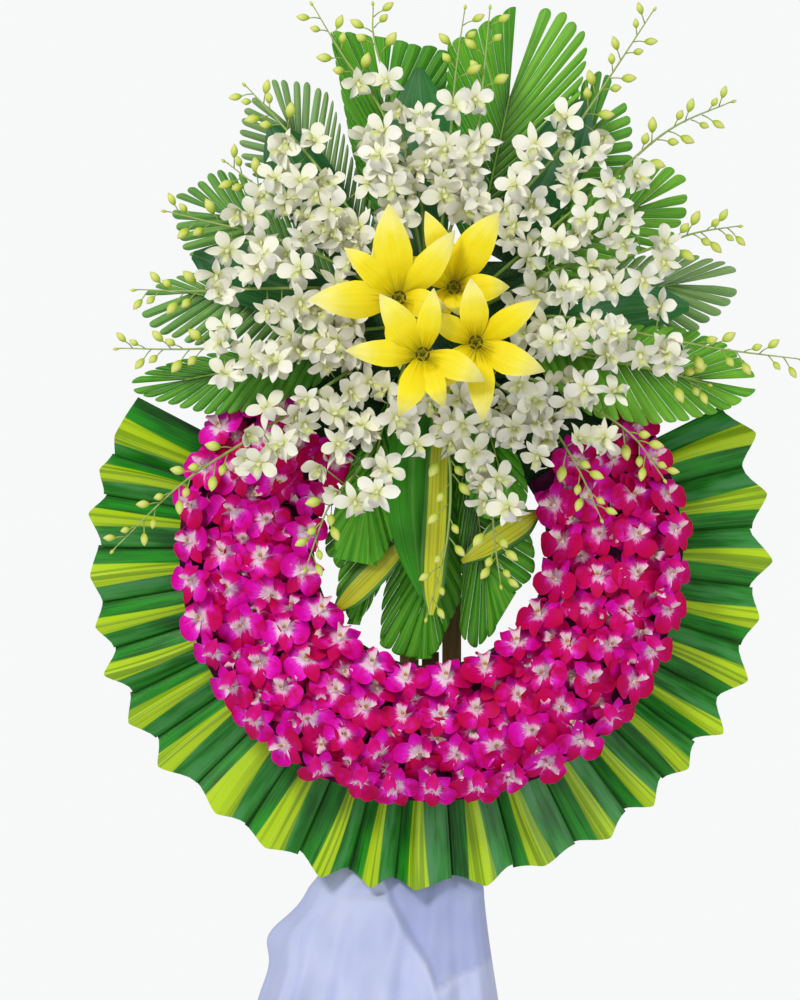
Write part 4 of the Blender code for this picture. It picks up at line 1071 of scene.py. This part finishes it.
# Foot on the foam block, throat, depth of the throat, and the six tips: every second petal is narrow and
# lies behind the others
LILIES = (
    ("lily_upper_right", (448, 309), (453, 291), -0.226,
     ((498, 216), (425, 215), (508, 290), (458, 318), (415, 330), (398, 262))),
    ("lily_upper_left", (418, 311), (399, 302), -0.252,
     ((389, 209), (454, 235), (446, 312), (400, 372), (310, 303), (345, 252))),
    ("lily_lower_right", (462, 338), (474, 346), -0.278,
     ((469, 283), (537, 304), (542, 374), (481, 424), (430, 392), (424, 318))),
    ("lily_lower_left", (427, 334), (422, 358), -0.304,
     ((380, 299), (433, 293), (483, 384), (443, 410), (399, 418), (346, 354))),
)

# Along a petal: its half width in units and its depth in metres
LILY_WIDTHS = (
    (0, 5.0), (0.14, 10.5), (0.32, 16.0), (0.46, 17.2), (0.62, 15.0), (0.78, 10.5), (0.91, 5.0), (1, 0.5),
)
LILY_DEPTHS = ((0, 0.026), (0.14, 0.012), (0.34, 0.0), (0.70, -0.007), (0.90, 0.0), (1.0, 0.012))


def lily_petal(foliage, chance, throat, level, tip, narrow):
    """Petal from the throat to its tip, with a groove along it and curled edges."""
    du, dv = tip[0] - throat[0], tip[1] - throat[1]
    length = math.hypot(du, dv)
    t = np.linspace(0, 1, 18)[:, None]
    s = np.linspace(-1, 1, 11)
    half = profile(t, LILY_WIDTHS) * min(1.15, max(0.8, length / 85.0)) * (0.88 if narrow else 1.06)
    reach = 0.03 + 0.97 * t
    off = (chance.uniform(-3.0, 3.0) * np.sin(math.pi * t) + half * s) / length
    u = throat[0] + du * reach - dv * off
    v = throat[1] + dv * reach + du * off
    depth = level + (0.003 if narrow else 0.0) + profile(t, LILY_DEPTHS)
    arch = 0.20 * half * UNIT * np.abs(s) ** 1.6
    groove = 0.0012 * np.exp(-((s / 0.16) ** 2)) * np.sin(math.pi * t)
    curl = 0.0016 * np.sin(8 * t + chance.uniform(0, 6)) * np.abs(s) ** 3 * np.sign(s)
    shade = np.clip(t + 0.10 * np.abs(s) ** 2.5 * t, 0, 1)
    foliage.grid(place(u, v, depth + arch + groove + curl), shade, 0.5 + 0.5 * s, chance.random(), PETAL)


def build_lilies(material):
    chance = random.Random(31)
    stem_radii = np.interp(np.linspace(0, 1, 16), (0, 0.5, 0.75, 1), (0.0036, 0.0036, 0.008, 0.0150))
    span = np.linspace(-1, 1, 6)
    anther_radii = 0.0013 * np.sqrt(np.clip(1.05 - span**2, 0.05, 1))
    for node, foot, throat, level, tips in LILIES:
        foliage = Foliage()
        path = [place(*foot, BLOCK_FRONT - GAP), place(*foot, level + 0.070)]
        path += [place(*throat, level + 0.036), place(*throat, level + 0.021)]
        tube(foliage, smooth_path(path, 16), stem_radii, STEM, 0.4, 12)
        for k in (0, 2, 4, 1, 3, 5):
            lily_petal(foliage, chance, throat, level, tips[k], k % 2)
        low = place(*throat, level + 0.020)
        for k in range(6):
            turn = math.radians(60 * k + chance.uniform(-12, 12))
            out = np.array([math.cos(turn), 0.0, math.sin(turn)])
            high = low + out * 0.0075 + FRONT * 0.030
            path = smooth_path([low, (low + high) / 2 - out * 0.001, high], 7)
            tube(foliage, path, 0.0006, COLUMN, 0.5, 5)
            ends = high + np.cross(out, BACK) * 0.0038 * span[:, None]
            tube(foliage, ends, anther_radii, COLUMN, 0.5, 6, ANTHER)
        pistil = low + np.array(((0.0, 0.0, 0.0), (0.0006, -0.018, 0.0), (0.0012, -0.036, -0.001)))
        tube(foliage, pistil, 0.0010, COLUMN, 0.5)
        stand_in(foliage, node, material)


# Drape


# Height, left and right side, front and depth of the folds, from the top down
DRAPE_LEVELS = (
    (0.58, -0.106, 0.05, 0.02, 0.004),
    (0.5, -0.17, 0.052, 0.016, 0.008),
    (0.35, -0.236, 0.072, -0.04, 0.016),
    (0.25, -0.25, 0.1, -0.08, 0.019),
    (0.14, -0.262, 0.14, -0.115, 0.022),
    (0.04, -0.268, 0.17, -0.14, 0.024),
)
DRAPE_ROWS = 130
DRAPE_COLUMNS = 300
UPRIGHTS_FRONT = 0.0110

# Edge of the panel that lies over the cloth in front, as layout points from the top down
PANEL_EDGE = ((376, 860), (388, 900), (408, 938), (428, 968), (436, 990), (446, 1040), (450, 1080))
# Upper edge of the panel that crosses below it, from left to right
SASH_EDGE = ((425, 1004), (437, 993), (462, 978), (497, 966), (520, 960))


def step_at(value, edge):
    """0 before an edge and 1 after it, with a narrow ramp between."""
    return 1 / (1 + np.exp(np.clip((edge - value) / 1.1, -30, 30)))


def drape_row(height, left, right, front, fold, at):
    """One row of the cloth round the stand, and the share of each point that lies in two layers."""
    centre, reach = (left + right) / 2, (right - left) / 2
    back = np.interp(height, (0.35, 0.50), (0.075, 0.050))
    turn = math.pi * (1 + at)
    bulge = 1 + fold * 4 * np.sin(2 * math.pi * 6.5 * at + 0.8 * np.sin(5 * height + 3 * at))
    bulge = bulge + fold * 0.8 * np.sin(2 * math.pi * 17 * at + 4 * height)
    x = centre + reach * np.cos(turn) * (1 + fold * np.sin(2 * math.pi * 5 * at))
    billow = 0.022 * math.exp(-(((height - 0.440) / 0.028) ** 2))
    x = x - billow * np.clip((centre - x) / reach, 0, 1) ** 2
    y = back - (back - front) * np.abs(np.sin(turn)) ** 0.55 * bulge
    u = (x - SHIFT_X) / UNIT + RING_U
    v = RING_V - (height - RING_HEIGHT) / UNIT
    edge = profile(v, [(q, p) for p, q in PANEL_EDGE])
    over = step_at(edge, u)
    swell = np.clip(1 - (edge - u) / 90.0, 0, 1) * np.clip((v - 870) / 40.0, 0, 1)
    rise = profile(u, SASH_EDGE)
    sash = step_at(v, rise) * (1 - over)
    lap = 0.021 * over * (0.30 + 0.70 * swell) + 0.020 * sash * np.exp(-np.clip(v - rise, 0, 400) / 60.0)
    du, dv = u - 300, v - 900
    wrinkle = 0.0036 * np.sin(0.085 * du - 0.055 * dv) * over * np.clip((v - 880) / 60.0, 0, 1)
    wrinkle = wrinkle + 0.0022 * np.sin(0.19 * du + 0.05 * dv) * np.clip((v - 885) / 30.0, 0, 1)
    y = y - np.clip(-np.sin(turn), 0, 1) * (lap + wrinkle)
    if height > 0.49:
        gathered = np.clip(y, UPRIGHTS_FRONT, 0.0285)
        y = np.where(np.abs(x - SHIFT_X) < 0.07, gathered, np.maximum(y, UPRIGHTS_FRONT))
    return spread(x, y + SHIFT_Y, height), np.clip(over + sash, 0, 1)


def build_drape(material):
    levels = np.array(DRAPE_LEVELS)
    shapes = smooth_path(levels[:, 1:4], DRAPE_ROWS)
    spots = np.linspace(0, 5, DRAPE_ROWS)
    heights, folds = (np.interp(spots, range(6), levels[:, k]) for k in (0, 4))
    at = np.linspace(0, 1, DRAPE_COLUMNS)
    rows = [drape_row(height, *shape, fold, at) for height, shape, fold in zip(heights, shapes, folds)]
    points = np.array([row for row, _ in rows])
    # Share of the cloth in two layers; the cloth's material darkens the rest as painted shade
    double = np.array([layers for _, layers in rows])
    foliage = Foliage()
    foliage.grid(points, np.linspace(0, 1, DRAPE_ROWS)[:, None], at, double, 0.0)
    piece = stand_in(foliage, "drape_cloth", material)


# Solids that stay as they are, and the whole


def dress(names, material):
    for name in names:
        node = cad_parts[name]
        node.data.materials.clear()
        node.data.materials.append(material)


def build_all():
    palm = leaf_material(
        "palm_leaf", (0.012, 0.110, 0.004), (0.070, 0.370, 0.012), (0.290, 0.680, 0.040),
        (0.26, 0.52, 0.05), 22.0, 0.42, (0.26, 0.50, 0.08), 0.16)
    dark = leaf_material(
        "broad_leaf", (0.006, 0.055, 0.012), (0.020, 0.150, 0.028), (0.060, 0.270, 0.065),
        (0.10, 0.26, 0.09), 34.0, 0.36, (0.14, 0.26, 0.20), 0.45)
    green = leaf_material(
        "strap_leaf", (0.016, 0.150, 0.006), (0.050, 0.340, 0.012), (0.130, 0.500, 0.030),
        (0.16, 0.42, 0.07), 30.0, 0.34, (0.24, 0.46, 0.24), 0.25)
    collar = striped_material(
        "collar_leaf", (0.004, 0.090, 0.006), (0.018, 0.340, 0.012), (0.54, 0.78, 0.004),
        (0.27, 0.46, 0.002), (0.130, 0.320, 0.180))
    striped = striped_material(
        "striped_leaf", (0.030, 0.160, 0.008), (0.080, 0.300, 0.014), (0.62, 0.64, 0.020),
        (0.42, 0.46, 0.010), (0.20, 0.36, 0.20))
    timber = ((0.20, 0.11, 0.05), (0.46, 0.29, 0.15), 14.0)
    bamboo = ((0.30, 0.20, 0.07), (0.58, 0.45, 0.21), 40.0)
    build_beds(magenta_material())
    build_collar(collar)
    for number, (node, base, tip, layer, *rims) in enumerate(FRONDS):
        near, far = LAYERS[layer]
        closed = node in CLOSED_FRONDS
        build_frond(node, (*base, near), (*tip, far), rims, FROND_LOOKS[node], palm, 40 + number, closed)
    for number, (node, base, tip, *rims) in enumerate(HOLE_PALMS):
        build_frond(node, base, tip, rims, HOLE_LOOKS, palm, 60 + number, True)
    for number, (node, spine, widths) in enumerate(BROAD_LEAVES):
        build_blade(node, spine, widths, 0.10, dark, 70 + number)
    for number, (node, kind, spine, widths) in enumerate(HOLE_LEAVES):
        chosen, stripe = (striped, 0.34) if kind == "striped" else (green, 0.0)
        build_blade(node, spine, widths, 0.12, chosen, 80 + number, stripe, 0.0006)
    build_sprays(white_material())
    build_lilies(lily_material())
    build_drape(cloth_material())
    dress(("foam_ring", "foam_block"), foam_material())
    dress(("stand_uprights", "stand_strut"), wood_material("sawn_timber", *timber, (9.0, 9.0, 0.7)))
    dress(("stand_base",), wood_material("base_timber", *timber, (2.0, 2.0, 9.0)))
    dress(("hoop_inner", "hoop_outer"), wood_material("split_bamboo", *bamboo, (1.0, 3.0, 1.0)))


# Floor, light and camera


FLOOR_RADIUS = 2.6
FLOOR_SIDES = 64
CAMERA_DISTANCE = 8.0
SENSOR_WIDTH = 36.0
PICTURE_MIDDLE = (400.0, 500.0)
PICTURE_HEIGHT = 1000.0


def add_object(name, data):
    made = bpy.data.objects.new(name, data)
    bpy.context.scene.collection.objects.link(made)
    return made


def build_stage():
    mesh = bpy.data.meshes.new("floor")
    angles = [2 * math.pi * k / FLOOR_SIDES for k in range(FLOOR_SIDES)]
    corners = [(FLOOR_RADIUS * math.cos(a), FLOOR_RADIUS * math.sin(a), 0.0) for a in angles]
    mesh.from_pydata(corners, [], [tuple(range(FLOOR_SIDES))])
    n = Nodes("pale_floor", 0.8, 0.1)
    pale = n.ramp(n.noise(n.position(), 3.0), (0.3, 0.86, 0.86, 0.87), (0.7, 0.90))
    n.link(pale, n.surface["Base Color"])
    mesh.materials.append(n.material)
    floor = add_object("floor", mesh)


def area_light(name, spot, size, power, colour):
    light = bpy.data.lights.new(name, "AREA")
    light.shape = "DISK"
    light.size = size
    light.energy = power
    light.color = colour
    lamp = add_object(name, light)
    lamp.location = spot
    lamp.rotation_euler = (Vector((0.0, 0.0, 1.0)) - Vector(spot)).to_track_quat("-Z", "Y").to_euler()


def build_light_and_camera():
    """Studio: a pale backdrop that the camera sees, a dimmer sky that lights the wreath, and two lamps."""
    scene = bpy.context.scene
    world = bpy.data.worlds.new("studio")
    scene.world = world
    world.use_nodes = True
    tree = world.node_tree
    seen = tree.nodes["Background"]
    seen.inputs[0].default_value = (0.935, 0.940, 0.945, 1.0)
    ambient = tree.nodes.new("ShaderNodeBackground")
    ambient.inputs[0].default_value = (0.96, 0.98, 1.0, 1.0)
    ambient.inputs[1].default_value = 0.46
    path = tree.nodes.new("ShaderNodeLightPath")
    mix = tree.nodes.new("ShaderNodeMixShader")
    sources = (path.outputs["Is Camera Ray"], ambient.outputs[0], seen.outputs[0])
    for source, socket in zip(sources, mix.inputs):
        tree.links.new(source, socket)
    tree.links.new(mix.outputs[0], tree.nodes["World Output"].inputs[0])
    area_light("key", (-1.6, -2.6, 2.8), 1.1, 56.0, (1.0, 0.98, 0.95))
    area_light("fill", (2.4, -2.2, 1.4), 2.0, 19.0, (0.95, 0.97, 1.0))
    scene.view_settings.view_transform = "Standard"
    lens = bpy.data.cameras.new("camera")
    lens.sensor_width = SENSOR_WIDTH
    lens.lens = SENSOR_WIDTH * CAMERA_DISTANCE / (PICTURE_HEIGHT * UNIT)
    camera = add_object("camera", lens)
    camera.location = place(*PICTURE_MIDDLE, -0.10) + FRONT * CAMERA_DISTANCE
    camera.rotation_euler = (math.pi / 2, 0.0, 0.0)
    scene.camera = camera


build_all()
build_stage()
build_light_and_camera()
